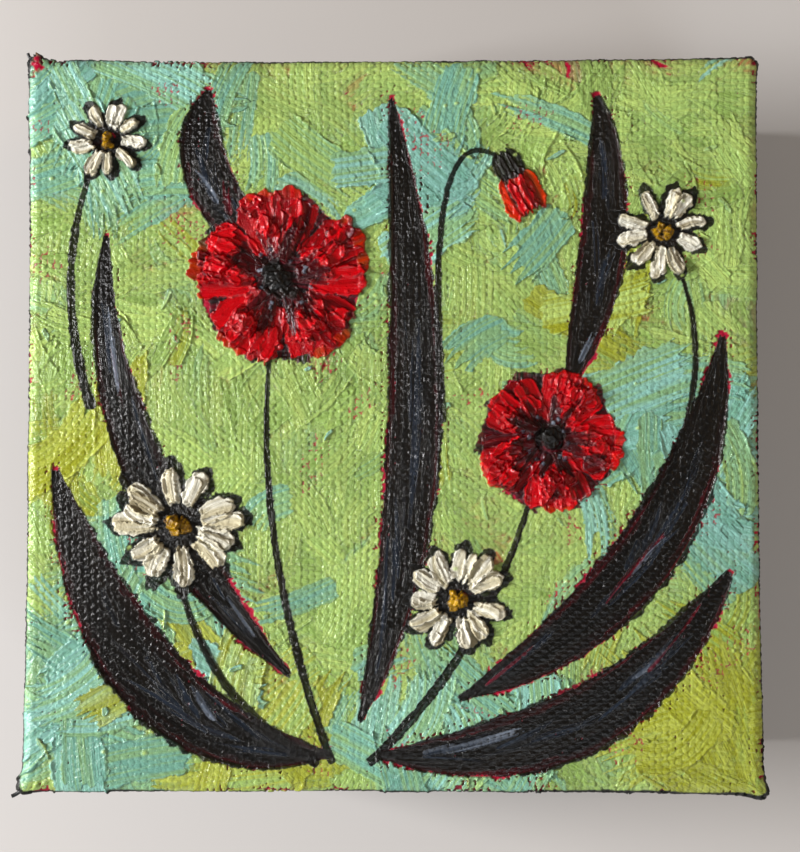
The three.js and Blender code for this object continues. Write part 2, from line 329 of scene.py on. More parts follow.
# %% The mark that a brush makes
def mark_of(path, seed, width, taper, pinch, ragged, hair):
    """What is known of every sample near a stroke before any paint is on it."""
    window, along, aside, total = near(path, width * 0.75)
    t = np.clip(along / total, 0, 1)
    half = width / 2 * (1 - taper * t**1.5) * (0.9 + 0.2 * wisps(along / 2.5, along * 0, seed))
    if pinch:
        half = half * np.sin(math.pi * np.clip(t, 0.015, 0.985)) ** pinch
    coarse = wisps(aside / hair, along / 9, seed)
    bristle = rise(0.6 * coarse + 0.4 * wisps(aside / (hair * 0.5), along / 5, seed + 1), 0.15, 0.85)
    return SimpleNamespace(
        window=window, along=along, aside=aside, edge=np.sign(aside), t=t, half=half, seed=seed,
        off=aside / np.maximum(half, 1e-3), width=width, hair=hair, bristle=bristle,
        ends_at=total * (1 - ragged * wisps(aside / 0.4, aside * 0 + 1.5, seed + 2)))


# %% Where the paint lands
SOFT_SIDE = 0.12
SOFT_END_MM = 0.22


def landed(mark, dry, wobble, within):
    """How well each sample is covered: ragged round the mark, and only the high places when dry."""
    along, aside, off, seed, window = mark.along, mark.aside, mark.off, mark.seed, mark.window
    round_start = -0.3 * mark.width * np.sqrt(np.maximum(1 - off * off, 0))
    starts_at = round_start + 0.2 * mark.width * wisps(aside / 0.5, aside * 0, seed + 3)
    waves = 2 * wisps(along / 0.8, mark.edge * 3, seed + 4) + wisps(along / 0.3, mark.edge, seed)
    side_at = 1 + wobble * (waves - 1.5)
    cover = rise(side_at - np.abs(off), 0, SOFT_SIDE) * rise(along - starts_at, 0, SOFT_END_MM)
    cover = cover * rise(mark.ends_at - along, 0, SOFT_END_MM)
    if within is not None:
        cover = cover * within[window]
    peak = weave[window] * (1 - filled[window]) + 0.5 * filled[window]
    dryness = dry * (0.3 + 0.7 * mark.t) + 0.1 * dry * off**4
    return cover * rise(0.5 * peak + 0.5 * mark.bristle, dryness - 0.08, dryness + 0.06)


# %% How thick it lies
SIDE_LIP_MM = 0.22
END_LIP_MM = 0.24
FILLS_WEAVE_MM = 0.17


def lay_height(mark, cover, load, lip, level):
    """Raises the sheet, and gives back the stroke's height without its lips."""
    along, aside, off, seed, window = mark.along, mark.aside, mark.off, mark.seed, mark.window
    carried = load * (1 - 0.5 * mark.t)
    # A heavy load runs together, so its bristle lines are shallower for its size.
    lines = 1.9 / (1 + load / 0.08) * (mark.bristle - 0.5)
    lumps = 0.5 * (wisps(along / 1.3, aside / 1.1, seed + 9) - 0.5)
    body = carried * (1 + lines + lumps) * (1 - 0.3 * np.minimum(off * off, 1))
    side_lip = np.exp(-(((np.abs(off) - 0.93) * mark.half / SIDE_LIP_MM) ** 2))
    side_lip = side_lip * (1.5 * wisps(along / 1.6, mark.edge * 5, seed + 5))
    end_lip = np.exp(-(((mark.ends_at - along - 0.25) / END_LIP_MM) ** 2))
    end_lip = end_lip * 1.3 * wisps(aside / 0.8, aside * 0, seed + 6)
    under = thickness[window]
    mean = float((under * cover).sum() / max(cover.sum(), 1e-3))
    laid = body + carried * lip * (side_lip + end_lip) - level * (under - mean)
    thickness[window] = under + cover * laid
    filled[window] = np.maximum(filled[window], cover * np.clip(body / FILLS_WEAVE_MM, 0, 0.95))
    return body


# %% Its colour
def lay_colour(mark, cover, body, hues, film, streaks, pickup):
    """Lays two hues in streaks, with some of what was there before mixed in."""
    along, aside, hair, seed = mark.along, mark.aside, mark.hair, mark.seed
    broad_tone = wisps(aside / (hair * 2.2), along / 14, seed + 7)
    fine_tone = wisps(aside / (hair * 0.7), along / 9, seed + 8)
    tone = 0.4 * broad_tone + 0.6 * fine_tone
    mix = np.clip((tone - 0.5) * 3.5 * streaks + 0.5 * streaks, 0, 1)[..., None]
    taken = (pickup * (1.2 - mark.bristle))[..., None]
    before = colour[mark.window]
    fresh = (hues[0] * (1 - mix) + hues[1] * mix) * (1 - taken) + before * taken
    fresh = fresh * (1 + 0.1 * math.sin(12.9 * seed))
    share = (rise(cover, 0.15, 0.75) * (1 - np.exp(-(body + 0.01) / film)))[..., None]
    colour[mark.window] = before * (1 - share) + fresh * share


# %% The whole stroke
strokes_laid = 0


def stroke(path, width, load, hues, dry=0.3, lip=0.5, level=0.3, film=0.02, shine=0.6, streaks=0.5,
           taper=0.0, pinch=0.0, ragged=0.2, wobble=0.1, pickup=0.3, hair=0.33, within=None):
    """Lays paint along a path: width and load in mm, and two hues that the bristles mix."""
    global strokes_laid
    strokes_laid += 1
    mark = mark_of(path, strokes_laid, width, taper, pinch, ragged, hair)
    if mark.along.size == 0:
        return
    cover = landed(mark, dry, wobble, within)
    body = lay_height(mark, cover, load, lip, level)
    lay_colour(mark, cover, body, hues, film, streaks, pickup)
    window, wet = mark.window, cover > 0.4
    gloss[window] = gloss[window] * (1 - cover) + shine * cover
    stroke_along[window] = np.where(wet, mark.along + mark.seed * 17.0, stroke_along[window])
    stroke_across[window] = np.where(wet, mark.aside + mark.seed * 5.0, stroke_across[window])


def arc(x, y, angle, reach, bend, points=9):
    """A short bowed path through a place, aimed along an angle."""
    east, north = math.cos(angle), math.sin(angle)
    start, end = (x - east * reach, y - north * reach), (x + east * reach, y + north * reach)
    return curve(start, (x - north * bend, y + east * bend), end, points)


# %% [markdown]
# ## The design
#
# The spray grows from the bottom edge and opens to both sides. The flowers' places and sizes come
# from the solids. A leaf or a stem is a curve with three control points. The solids follow the same
# curves, but leave out the thin stems of three daisies.

# %% Places of the motifs
LEAVES = {
    "low_left": ((-9, -45), (-37, -44), (-46, -6), 11),
    "low_right": ((-1, -45), (30, -47), (46, -20), 10),
    "tall": ((-4, -40), (8, -6), (0, 45), 8),
    "right": ((10, -37), (42, -22), (45, 12), 9.5),
    "left": ((-14, -34), (-42, -6), (-39, 26), 6.5),
    "top_left": ((-18, 24), (-29, 34), (-25, 46), 7.5),
    "top_right": ((24, 4), (32, 28), (28, 45), 7),
}
STEMS = {
    "big_poppy": ((-8, -46), (-20, -14), (-16, 14)),
    "small_poppy": ((-3, -46), (14, -30), (20, -6)),
    "bud": ((7, 0), (4, 44), (15, 36)),
    "left_daisy": ((-10, -46), (-25, -38), (-29, -20)),
    "right_daisy": ((27, -25), (47, 2), (39, 21)),
    "top_daisy": ((-41, 2), (-47, 20), (-41, 35)),
}
POPPY_PETALS = 5
DAISY_PETALS = {"left": 12, "low": 11, "right": 10, "top": 9}


def flower_at(node):
    """The middle and the radius of a painted flower."""
    low, high = box_mm(node)
    middle, size = (low + high) / 2, (high - low) / 2
    return middle[0], middle[1], (size[0] + size[1]) / 2


poppies = {name: flower_at(f"poppy_{name}_petals") for name in ("big", "small")}
daisies = {name: flower_at(f"daisy_{name}_petals") for name in DAISY_PETALS}
for name, (x, y, radius) in {**poppies, **daisies}.items():
    print(f"{name} flower at {x:.0f}, {y:.0f} mm, radius {radius:.1f} mm")

# %% [markdown]
# ## Where crimson shows
#
# A painter puts the dark shapes in first and then brings the green up to them with a fairly dry
# brush. Close to a dark shape, and on the turned edges, the green misses the deepest pits of the
# weave, so crimson is left there in small specks. Along some stretches of an outline the green
# stops short, and leaves a ragged crimson line. Here a map does the same whatever comes first: it
# says where the ground's brush is free to lay paint.

# %% Map of the motifs
def leaf_outline(t):
    """How wide a leaf is along its length, as a share of its widest."""
    return np.sin(math.pi * np.clip(t, 0.015, 0.985)) ** 0.75 * (1 - 0.3 * t)


outside_motifs = np.full_like(thickness, 9.0)
for start, bend, end, width in LEAVES.values():
    window, along, aside, total = near(curve(start, bend, end, 24), width)
    beyond = np.maximum(0, np.maximum(-along, along - total))
    gap = np.hypot(np.maximum(np.abs(aside) - width / 2 * leaf_outline(along / total), 0), beyond)
    outside_motifs[window] = np.minimum(outside_motifs[window], gap)
for places, reserved in ((poppies, 0.84), (daisies, 0.3)):
    for x, y, radius in places.values():
        gap = np.hypot(sheet_x - x, sheet_y - y) - radius * reserved
        outside_motifs = np.minimum(outside_motifs, np.maximum(gap, 0))

# %% Where the ground's brush is free
from_rim = REACH - np.maximum(np.abs(sheet_x), np.abs(sheet_y))
fine = wisps(sheet_x / 0.38, sheet_y / 0.31, 13)
deep = 0.6 * (1 - weave) + 0.4 * fine
patchy = rise(wisps(sheet_x / 4, sheet_y / 4, 12), 0.35, 0.7)
worn = rise(wisps(sheet_x / 7, sheet_y / 7, 17), 0.6, 0.8)
nearly = (0.35 + 0.65 * patchy) * (1 - rise(outside_motifs, 0.2, 2.6))
on_roll = rise(wisps(sheet_x / 4, sheet_y / 4, 23), 0.4, 0.7) * (1 - rise(from_rim, 0.9, 2.4))
need = 0.79 - 0.24 * nearly - 0.38 * on_roll - 0.08 * worn
bare = rise(deep, need, need + 0.06)
shy = 0.9 * rise(wisps(sheet_x / 3, sheet_y / 3, 18), 0.45, 0.9) * fine
bare = np.maximum(bare, 1 - rise(outside_motifs, shy, shy + 0.15))
free = (1 - bare).astype(np.float32)
print(f"crimson is left bare on {100 * (1 - free[outside_motifs > 0].mean()):.1f} % of the ground")

# %% [markdown]
# ## The ground
#
# First a thin scrubbed green covers the crimson, all in directions that drift across the picture.
# Paint this thin leaves the weave plain to see. Then thicker green goes on in places, and last the
# turquoise and the yellow-ochre: some of it dry, so that it streaks over the green, and some from a
# loaded brush that fills the weave and leaves a ridge round each mark.

# %% Scrubbed green
draw = np.random.default_rng(21)


def brushed_along(x, y):
    """The direction that the ground is brushed in at a place."""
    return float(wisps(np.float32(x / 26 + 9), np.float32(y / 26 + 4), 11)) * 2.6 * math.pi


def scattered(spacing, reach=REACH + 1):
    """Places all over the sheet, about evenly spaced, in a mixed order."""
    count = int(2 * reach / spacing)
    cells = [(i, j) for i in range(count) for j in range(count)]
    for index in draw.permutation(len(cells)):
        i, j = cells[index]
        shift = draw.uniform(0, 1, 2)
        yield (i + shift[0]) * spacing - reach, (j + shift[1]) * spacing - reach


def pick(*choices):
    """One of several pairs of hues, the first ones more often."""
    return choices[min(int(draw.exponential(1.1)), len(choices) - 1)]


for x, y in scattered(4.2):
    angle = brushed_along(x, y) + draw.normal(0, 0.3)
    stroke(arc(x, y, angle, draw.uniform(4, 8), draw.normal(0, 2)), draw.uniform(4.5, 7.5),
           draw.uniform(0.018, 0.04), pick((GREEN, MOSS), (GREEN, LIME), (MOSS, GREEN), (SEA, GREEN)),
           dry=0.26, lip=0.4, level=0.1, shine=0.78, streaks=0.7, pickup=0.1, ragged=0.35, within=free)
print(strokes_laid, "strokes after the scrubbed green")

# %% Thicker green
def thick_here(x, y):
    """From 0 where the ground stays thin to 1 where it was worked up."""
    return float(rise(wisps(np.float32(x / 22 + 3), np.float32(y / 22 + 8), 14), 0.45, 0.75))


for x, y in scattered(3.8):
    thick = thick_here(x, y)
    angle = brushed_along(x, y) + draw.normal(0, 0.35 + 0.3 * thick)
    load = draw.uniform(0.015, 0.04) + thick * draw.uniform(0.0, 0.1)
    stroke(arc(x, y, angle, draw.uniform(3, 7), draw.normal(0, 2)), draw.uniform(2, 5.5), load,
           pick((GREEN, LIME), (MOSS, GREEN), (LIME, GREEN), (SEA, GREEN), (OCHRE, GREEN)),
           dry=draw.uniform(0.42, 0.62), lip=1.5, level=0.25, shine=0.82, streaks=0.9, pickup=0.35,
           ragged=0.45, within=free)
print(strokes_laid, "strokes after the thicker green")

# %% Turquoise and ochre
PATCHES = {
    "turquoise": [(-38, -34, 22), (8, -44, 16), (-36, 42, 17), (43, -6, 15), (6, 33, 10)],
    "ochre": [(-20, -42, 14), (39, -38, 14), (-42, -4, 9), (30, 14, 7)],
}
SHARP = dict(film=0.014, hair=0.38, within=free)


def patch_share(kind, x, y):
    """How likely a place is to be painted in a patch's colour."""
    near_by = [1.4 * (1 - math.hypot(x - px, y - py) / radius) for px, py, radius in PATCHES[kind]]
    return max(0.0, *near_by)


DRY_BRUSH = ((0.012, 0.035), 0.58, 3.4, 1.0)
FULL_BRUSH = ((0.03, 0.17), 0.34, 5.0, 1.35)
for loads, drier, spacing, size in (DRY_BRUSH, FULL_BRUSH):
    for x, y in scattered(spacing):
        kind = "ochre" if draw.random() < patch_share("ochre", x, y) else "turquoise"
        if kind == "turquoise" and draw.random() > patch_share(kind, x, y) + 0.02:
            continue
        blues = pick((TURQUOISE, SEA), (SEA, TURQUOISE), (TURQUOISE, SKY), (SEA, GREEN), (SKY, SEA))
        yellows = pick((OCHRE, LEMON), (OCHRE, MOSS), (LEMON, GREEN))
        load = draw.uniform(*loads) * (0.6 if kind == "ochre" else 1)
        angle = brushed_along(x, y) + draw.normal(0, 0.6)
        stroke(arc(x, y, angle, size * draw.uniform(3, 7.5), draw.normal(0, 1.8)),
               size * draw.uniform(2.5, 6), load, yellows if kind == "ochre" else blues,
               dry=drier * draw.uniform(0.8, 1.15), lip=1.8, level=0.4, shine=0.85, streaks=1.1, pickup=0.2,
               ragged=0.45, **SHARP)
print(strokes_laid, "strokes after the turquoise and ochre")

# %% [markdown]
# ## Loaded strokes
#
# Last come a few broad strokes from a full brush, pressed hard. They squeeze the paint out to both
# sides, so each one is thin inside, with the weave in it, and has a tall narrow ridge round it.
# Where the brush was turned or lifted, it left a short thick touch. Crimson shows through in
# scattered specks, in pits of the weave that no brush got into.

# %% Loaded strokes, touches and specks
for kind, count in (("turquoise", 4), ("ochre", 2)):
    for patch_x, patch_y, radius in PATCHES[kind]:
        for _ in range(count):
            x, y = patch_x + draw.normal(0, 0.45) * radius, patch_y + draw.normal(0, 0.45) * radius
            angle = brushed_along(x, y) + draw.normal(0, 0.8)
            blues = pick((SEA, SKY), (TURQUOISE, SKY), (GREEN, SEA))
            yellows = pick((OCHRE, LEMON), (LIME, OCHRE))
            stroke(arc(x, y, angle, draw.uniform(5, 9), draw.normal(0, 3)), draw.uniform(4.5, 8), 0.045,
                   yellows if kind == "ochre" else blues, dry=0.12, lip=4.5, level=0.5, shine=0.88,
                   streaks=1.0, pickup=0.15, ragged=0.25, **SHARP)
for x, y in scattered(7.5):
    worked = thick_here(x, y) + patch_share("turquoise", x, y)
    if draw.random() < 0.5 * worked:
        stroke(arc(x, y, draw.uniform(0, math.pi), draw.uniform(0.5, 1.8), draw.normal(0, 0.4), 6),
               draw.uniform(0.4, 0.9), draw.uniform(0.12, 0.3), pick((LIME, SEA), (SKY, LIME), (SEA, SKY)),
               dry=0.05, lip=0.5, level=0.0, shine=0.9, streaks=0.8, pinch=0.4, wobble=0.3, within=free)
pits = rise(deep, 0.55, 0.61)
for x, y in scattered(11):
    if draw.random() < 0.5:
        stroke(arc(x, y, brushed_along(x, y), draw.uniform(1.5, 5), draw.normal(0, 1), 6),
               draw.uniform(2, 6), 0.004, (CRIMSON, WINE), dry=0.2, lip=0, level=0, film=0.005, streaks=0.6,
               pickup=0.1, ragged=0.6, pinch=0.5, within=pits)
print(strokes_laid, "strokes after the loaded ones")

# %% [markdown]
# ## Leaves and stems
#
# A leaf is five long strokes of thin black, side by side, that meet at both ends. The weave shows
# through, and a little brown and crimson with it. When that is dry, a nearly empty small brush
# drags blue-grey lines out from the middle of the leaf, and they catch only the tops of the weave.

# %% Black leaves
INK = dict(film=0.006, hair=0.3, pickup=0.03)
thin_black = rise(0.6 * (1 - weave) + 0.4 * wisps(sheet_x / 0.5, sheet_y / 0.5, 19), 0.66, 0.8)
dark_free = 1 - 0.75 * thin_black * rise(wisps(sheet_x / 3, sheet_y / 3, 20), 0.4, 0.7)


def leaf(start, bend, end, width):
    """Lays a leaf in black, lane by lane, and drags lighter lines over it."""
    path = curve(start, bend, end, 24)
    t = np.linspace(0, 1, len(path))
    heading = np.gradient(path, axis=0)
    heading /= np.linalg.norm(heading, axis=1, keepdims=True)
    aside = np.stack([heading[:, 1], -heading[:, 0]], 1)
    half = (width / 2 * leaf_outline(t))[:, None]
    for lane in (-0.62, 0.62, -0.3, 0.3, 0):
        sway = 0.2 * np.sin(t * draw.uniform(6, 11) + draw.uniform(0, 6))[:, None] * aside
        stroke(path + aside * half * lane + sway, width * 0.44, draw.uniform(0.02, 0.04), (BLACK, UMBER),
               dry=0.12, level=0.2, shine=0.8, streaks=0.3, pinch=0.6, ragged=0.012, wobble=0.14,
               within=dark_free, **INK)
    for _ in range(int(width * 1.8)):
        first = int(draw.integers(1, len(path) - 7))
        last = min(first + int(draw.integers(3, 7)), len(path) - 1)
        side = draw.choice([-1, 1])
        begin = path[first] + aside[first] * side * half[first] * draw.uniform(0, 0.3)
        finish = path[last] + aside[last] * side * half[last] * draw.uniform(0.35, 0.75)
        middle = (begin + finish) / 2 - aside[first] * side * half[first] * 0.15
        hues = pick((SLATE, BLACK), (UMBER, SLATE), (SLATE, MIST), (BLACK, WINE))
        stroke(curve(begin, middle, finish, 6), draw.uniform(0.4, 1.7), 0.012, hues,
               dry=draw.uniform(0.6, 0.78), lip=0.6, level=0.05, shine=0.85, streaks=0.9, taper=0.5,
               pinch=0.3, ragged=0.5, hair=0.26)


for start, bend, end in STEMS.values():
    stroke(curve(start, bend, end, 20), draw.uniform(1.2, 1.7), 0.035, (BLACK, UMBER), dry=0.16, lip=0.8,
           level=0.2, shine=0.85, taper=0.5, wobble=0.16, ragged=0.03, **INK)
for parts in LEAVES.values():
    leaf(*parts)
print(strokes_laid, "strokes after the leaves")

# %% [markdown]
# ## Poppies
#
# Each petal is built on a dark bed with a heavily loaded brush: broad dabs, side by side, pulled in
# from the rim to the middle, and short thick touches over them. Scarlet, red and nearly black blood
# red stay unmixed on the bristles, so each mark is streaked. Thin dark strokes are then drawn out
# from the middle. The paint is about 0.7 mm thick on average, over 2 mm in places, and glossy.

# %% Poppies
RICH = dict(film=0.012, hair=0.75, pickup=0.08, shine=0.95, lip=0.9, streaks=0.8)


def around(x, y, radius, angle):
    """The place at an angle on a circle."""
    return x + math.cos(angle) * radius, y + math.sin(angle) * radius


def spoke(x, y, stops, points=8):
    """A path by three stops round a centre, each with its distance and its angle."""
    return curve(*(around(x, y, far, angle) for far, angle in stops), points)


def poppy_bed(x, y, radius, turn):
    """The dark paint under a poppy."""
    for step in range(2 * POPPY_PETALS):
        angle = turn + step * math.pi / POPPY_PETALS
        path = spoke(x, y, [(radius * 0.1, angle), (radius * 0.5, angle + 0.2),
                            (radius * draw.uniform(0.84, 0.94), angle)])
        stroke(path, radius * 0.6, 0.04, (BLACK, WINE), dry=0.1, lip=0.6, level=0.1, wobble=0.2,
               ragged=0.05, **INK)


def poppy_petal(x, y, radius, angle):
    """Broad red dabs from the rim inwards, touches over them and dark strokes outwards."""
    reach = radius * draw.uniform(0.95, 1.02)
    for lean in draw.permutation([-0.36, -0.12, 0.12, 0.36]):
        rim_at = reach * (0.95 - 0.7 * lean**2) * draw.uniform(0.94, 1.0)
        path = spoke(x, y, [(rim_at, angle + lean), (reach * 0.6, angle + lean * 1.2),
                            (reach * draw.uniform(0.2, 0.3), angle + lean)], 9)
        stroke(path, radius * draw.uniform(0.3, 0.37), draw.uniform(0.2, 0.4),
               pick((SCARLET, RED), (RED, BLOOD), (RED, SCARLET)), dry=0.1, wobble=0.16, taper=0.35, **RICH)
    for _ in range(6):
        place = around(x, y, reach * draw.uniform(0.42, 0.84), angle + draw.uniform(-0.36, 0.36))
        heading = math.atan2(place[1] - y, place[0] - x) + draw.normal(0, 0.5)
        heading += math.pi * (draw.random() < 0.5)
        stroke(arc(*place, heading, radius * draw.uniform(0.1, 0.2), radius * 0.03, 6),
               radius * draw.uniform(0.18, 0.3), draw.uniform(0.25, 0.55),
               pick((SCARLET, RED), (SCARLET, RED), (SCARLET, BLOOD), (BLOOD, RED)), dry=0.1, level=0.1,
               wobble=0.25, ragged=0.3, pinch=0.15, **RICH)
    for lean in draw.uniform(-0.42, 0.42, 7):
        path = spoke(x, y, [(reach * 0.2, angle + lean * 0.8), (reach * 0.4, angle + lean),
                            (reach * draw.uniform(0.5, 0.75), angle + lean * 1.1)], 6)
        stroke(path, radius * draw.uniform(0.08, 0.16), 0.03, (BLOOD, BLACK), dry=0.36, level=0.4,
               film=0.01, shine=0.9, streaks=0.6, wobble=0.3, taper=0.6, ragged=0.4)


def dabs(x, y, reach, count, size, load, hues, **brush):
    """A heap of short dabs round a place."""
    for _ in range(count):
        place = around(x, y, reach * math.sqrt(draw.random()), draw.uniform(0, 2 * math.pi))
        path = arc(*place, draw.uniform(0, math.pi), size * 0.5, size * 0.15, 5)
        stroke(path, size * draw.uniform(0.7, 1.1), load * draw.uniform(0.6, 1.2), hues, **brush)


for (x, y, radius), turn in zip(poppies.values(), (0.35, 1.1)):
    poppy_bed(x, y, radius, turn)
    for petal in draw.permutation(POPPY_PETALS):
        poppy_petal(x, y, radius, turn + petal * 2 * math.pi / POPPY_PETALS)
    dabs(x, y, radius * 0.15, 9, radius * 0.19, 0.25, (BLACK, UMBER), dry=0.05, lip=0.8, film=0.006)
    print(f"petals up to {thickness[outside_motifs == 0].max():.1f} mm, on average "
          f"{thickness[np.hypot(sheet_x - x, sheet_y - y) < radius * 0.8].mean():.2f} mm")
    for step in range(12):
        place = around(x, y, radius * draw.uniform(0.22, 0.35),
                       step * 2 * math.pi / 12 + draw.normal(0, 0.2))
        stroke(arc(*place, draw.uniform(0, math.pi), 0.3, 0.05, 4), 0.6, 0.15, (SLATE, MIST), dry=0.2)
print(strokes_laid, "strokes after the poppies")

# %% [markdown]
# ## Daisies and the bud
#
# A petal is one heavy dab of cream, pressed down at the tip and pulled to the middle, over a
# slightly larger dark stroke that outlines it. A second, leaner dab over it leaves swirls of sand
# and tan. The eye of the flower is a heap of short ochre dabs.

# %% Daisies
def daisy(x, y, radius, petals, turn):
    """A dark stroke under each petal, two creamy dabs over it, and an eye of ochre."""
    angles = [turn + step * 2 * math.pi / petals + draw.normal(0, 0.08) for step in range(petals)]
    lengths = draw.uniform(0.84, 1.0, petals)
    dabs(x, y, radius * 0.2, 8, radius * 0.3, 0.03, (BLACK, UMBER), dry=0.1, lip=0.5, **INK)
    for angle, length in zip(angles, lengths):
        path = spoke(x, y, [(radius * (length + 0.04), angle), (radius * 0.6, angle + 0.08),
                            (radius * 0.15, angle)])
        stroke(path, radius * 0.42, 0.03, (BLACK, UMBER), dry=0.15, lip=0.8, level=0.1, wobble=0.25,
               pinch=0.2, ragged=0.05, **INK)
    for index in draw.permutation(petals):
        for again in range(2):
            angle = angles[index] + draw.normal(0, 0.06)
            path = spoke(x, y, [(radius * lengths[index] * draw.uniform(0.84, 0.94), angle),
                                (radius * 0.6, angle + draw.normal(0.06, 0.1)),
                                (radius * draw.uniform(0.22, 0.32), angle)])
            width = radius * (0.3 - 0.1 * again) * draw.uniform(0.9, 1.15)
            stroke(path, width, draw.uniform(0.2, 0.42), pick((CREAM, SAND), (CREAM, TAN), (SAND, CREAM)),
                   dry=0.12 + 0.25 * again, lip=0.9, level=0.1, streaks=0.9, wobble=0.25, taper=0.35,
                   pinch=0.12, film=0.02, hair=0.5, pickup=0.12, shine=0.75)
    dabs(x, y, radius * 0.14, 10, radius * 0.17, 0.3, (GOLD, BISTRE), dry=0.05, lip=0.8, shine=0.7,
         streaks=0.7)


for (name, (x, y, radius)), turn in zip(daisies.items(), (0.1, 0.3, 0.2, 0.6)):
    daisy(x, y, radius, DAISY_PETALS[name], turn)

# %% Bud
BUD_LEAN = -1.1


def side_by_side(node, apart, reach, width, load, hues, **brush):
    """Three strokes along the bud: one to each side, and one over them."""
    x, y, _ = flower_at(node)
    for lane in (-apart, apart, 0):
        place = around(x, y, abs(lane), BUD_LEAN + math.copysign(math.pi / 2, lane))
        stroke(arc(*place, BUD_LEAN, reach, 0.5 * lane), width, load, hues, dry=0.05, **brush)


side_by_side("bud", 1.3, 3.2, 3.0, 0.35, (SCARLET, BLOOD), wobble=0.2, pinch=0.3, **RICH)
side_by_side("bud_cap", 0.9, 2.2, 2.1, 0.15, (BLACK, UMBER), lip=0.8, pinch=0.4, **INK)
print(strokes_laid, "strokes in all")

# %% [markdown]
# ## Crumbs
#
# Half-dry skin from the palette gets into thick paint. It leaves small lumps, mostly where the
# ground was worked up, and about half of them are lighter than the paint round them.

# %% Crumbs of dried paint
CRUMBS = 520
CRUMB_MM = (0.12, 0.32)
CRUMB_HEIGHT_MM = (0.04, 0.16)


def crumb(x, y, size, tall, lighter):
    """One small lump of paint."""
    window, along, aside, total = near([(x - size * 0.2, y), (x + size * 0.2, y + size * 0.1)], size * 2)
    if along.size == 0:
        return
    far = np.hypot(np.maximum(np.abs(along - total / 2) - total / 2, 0), aside) / size
    lump = np.exp(-((far * (0.8 + 0.5 * wisps(along / 0.3, aside / 0.3, int(1e3 * size)))) ** 3))
    thickness[window] += tall * lump
    gained = (0.6 * lump * lighter)[..., None]
    colour[window] = colour[window] * (1 - gained) + LIME * 1.25 * gained


for _ in range(CRUMBS):
    x, y = draw.uniform(-REACH + 0.5, REACH - 0.5, 2)
    worked = thick_here(x, y)
    lighter = float(draw.random() < 0.5)
    if draw.random() < 0.25 + 0.75 * worked:
        near_dark = outside_motifs[int((y + REACH) / STEP), int((x + REACH) / STEP)] < 1
        crumb(x, y, draw.uniform(*CRUMB_MM), draw.uniform(*CRUMB_HEIGHT_MM), lighter * (not near_dark))

# %% [markdown]
# ## Black sides
#
# The sides were painted black last. The brush came up over the rolled edge by an unsteady hair, so
# the black begins near the outline of the picture and wavers. At the corners, where the cloth
# bunches, it came up further, and one corner keeps a bare crimson spot. The film of paint thins out
# towards the side, so that it ends flush with the cloth.

# %% Black edge
EDGE_BLACK = 1.02
CORNER_BLACK = [((1, -1), 1.3), ((1, 1), 1.0), ((-1, 1), 1.5), ((-1, -1), 1.2)]
RIM_FILM = 0.03
BUNCH_MM = 3.2
BARE_SPOT = (2.2 - REACH, REACH - 2.0)

edge_x, edge_y = np.abs(sheet_x), np.abs(sheet_y)
run = np.where(edge_x > edge_y, sheet_y, sheet_x)
which = np.where(edge_x > edge_y, np.sign(sheet_x), 3 * np.sign(sheet_y))
waver = wisps(run / 7, which * 4, 15) * 0.6 + wisps(run / 1.2, which * 7, 16) * 0.4
black_until = EDGE_BLACK + 0.7 * (waver - 0.45)
black_until = black_until + 0.3 * rise(sheet_x, -10, 45) * (sheet_y < -edge_x)
for (east, north), reach in CORNER_BLACK:
    away = np.hypot(sheet_x - east * REACH, sheet_y - north * REACH)
    black_until = np.maximum(black_until, (reach + 0.8 * waver) * np.exp(-((away / BUNCH_MM) ** 2)) + 0.6)
spot = np.hypot(sheet_x - BARE_SPOT[0], sheet_y - BARE_SPOT[1]) + 0.9 * fine
off_spot = rise(spot, 0.9, 1.4)
black_edge = rise(black_until - from_rim, -0.08, 0.1) * off_spot
share, spot_share = black_edge[..., None], (1 - off_spot)[..., None]
colour = colour * (1 - share) + (BLACK * 1.1) * share
colour = colour * (1 - spot_share) + CRIMSON * 0.8 * spot_share
gloss = gloss * (1 - black_edge) + 0.5 * black_edge
thickness = thickness + 0.05 * black_edge
print(f"paint is up to {thickness.max():.2f} mm thick")

# %% [markdown]
# ## From the flat sheet to the stretched one
#
# Beyond the flat of the face the sheet bends through a quarter turn over the bars' edge. A sample's
# distance along the sheet becomes an angle there, and the paint stands out along the bent sheet's
# own normal. The stretched cloth isn't a perfect block, though. Its upright corners are round, it
# is pulled in a little between the corners, and at each corner of the face it bunches up in a
# small ear, a different size at each one. The same functions shape paint and cloth, so the two
# always fit.

# %% Bending the sheet
def bent(s):
    """Across the bars' edge: how far out a place on the sheet ends up, and its angle there."""
    angle = np.clip(np.abs(s) - FLAT, 0, ROLL * math.pi / 2) / ROLL
    return np.sign(s) * (np.minimum(np.abs(s), FLAT) + ROLL * np.sin(angle)), np.sign(s) * angle


def bend_over(x, y, height):
    """Places of the sheet on a square block, standing a height off the cloth."""
    out_x, turn_x = bent(x)
    out_y, turn_y = bent(y)
    drop = ROLL * (2 - np.cos(turn_x) - np.cos(turn_y))
    normal = np.stack([np.sin(turn_x), np.sin(turn_y), np.cos(turn_x) * np.cos(turn_y)], -1)
    normal /= np.maximum(np.linalg.norm(normal, axis=-1, keepdims=True), 1e-6)
    return np.stack([out_x, out_y, FACE_Z - drop], -1) + normal * np.asarray(height)[..., None]


# %% Corners, bowed edges and ears
CORNER_ROUND = 1.3
BOW = 0.3
EAR_SPREAD = 2.2
EAR_TOP = 2.0
EAR_DEPTH = 8.0
EARS = [((1, -1), (0.9, -0.8)), ((1, 1), (0.45, 0.3)), ((-1, 1), (-0.15, 1.35)), ((-1, -1), (-1.3, -0.55))]


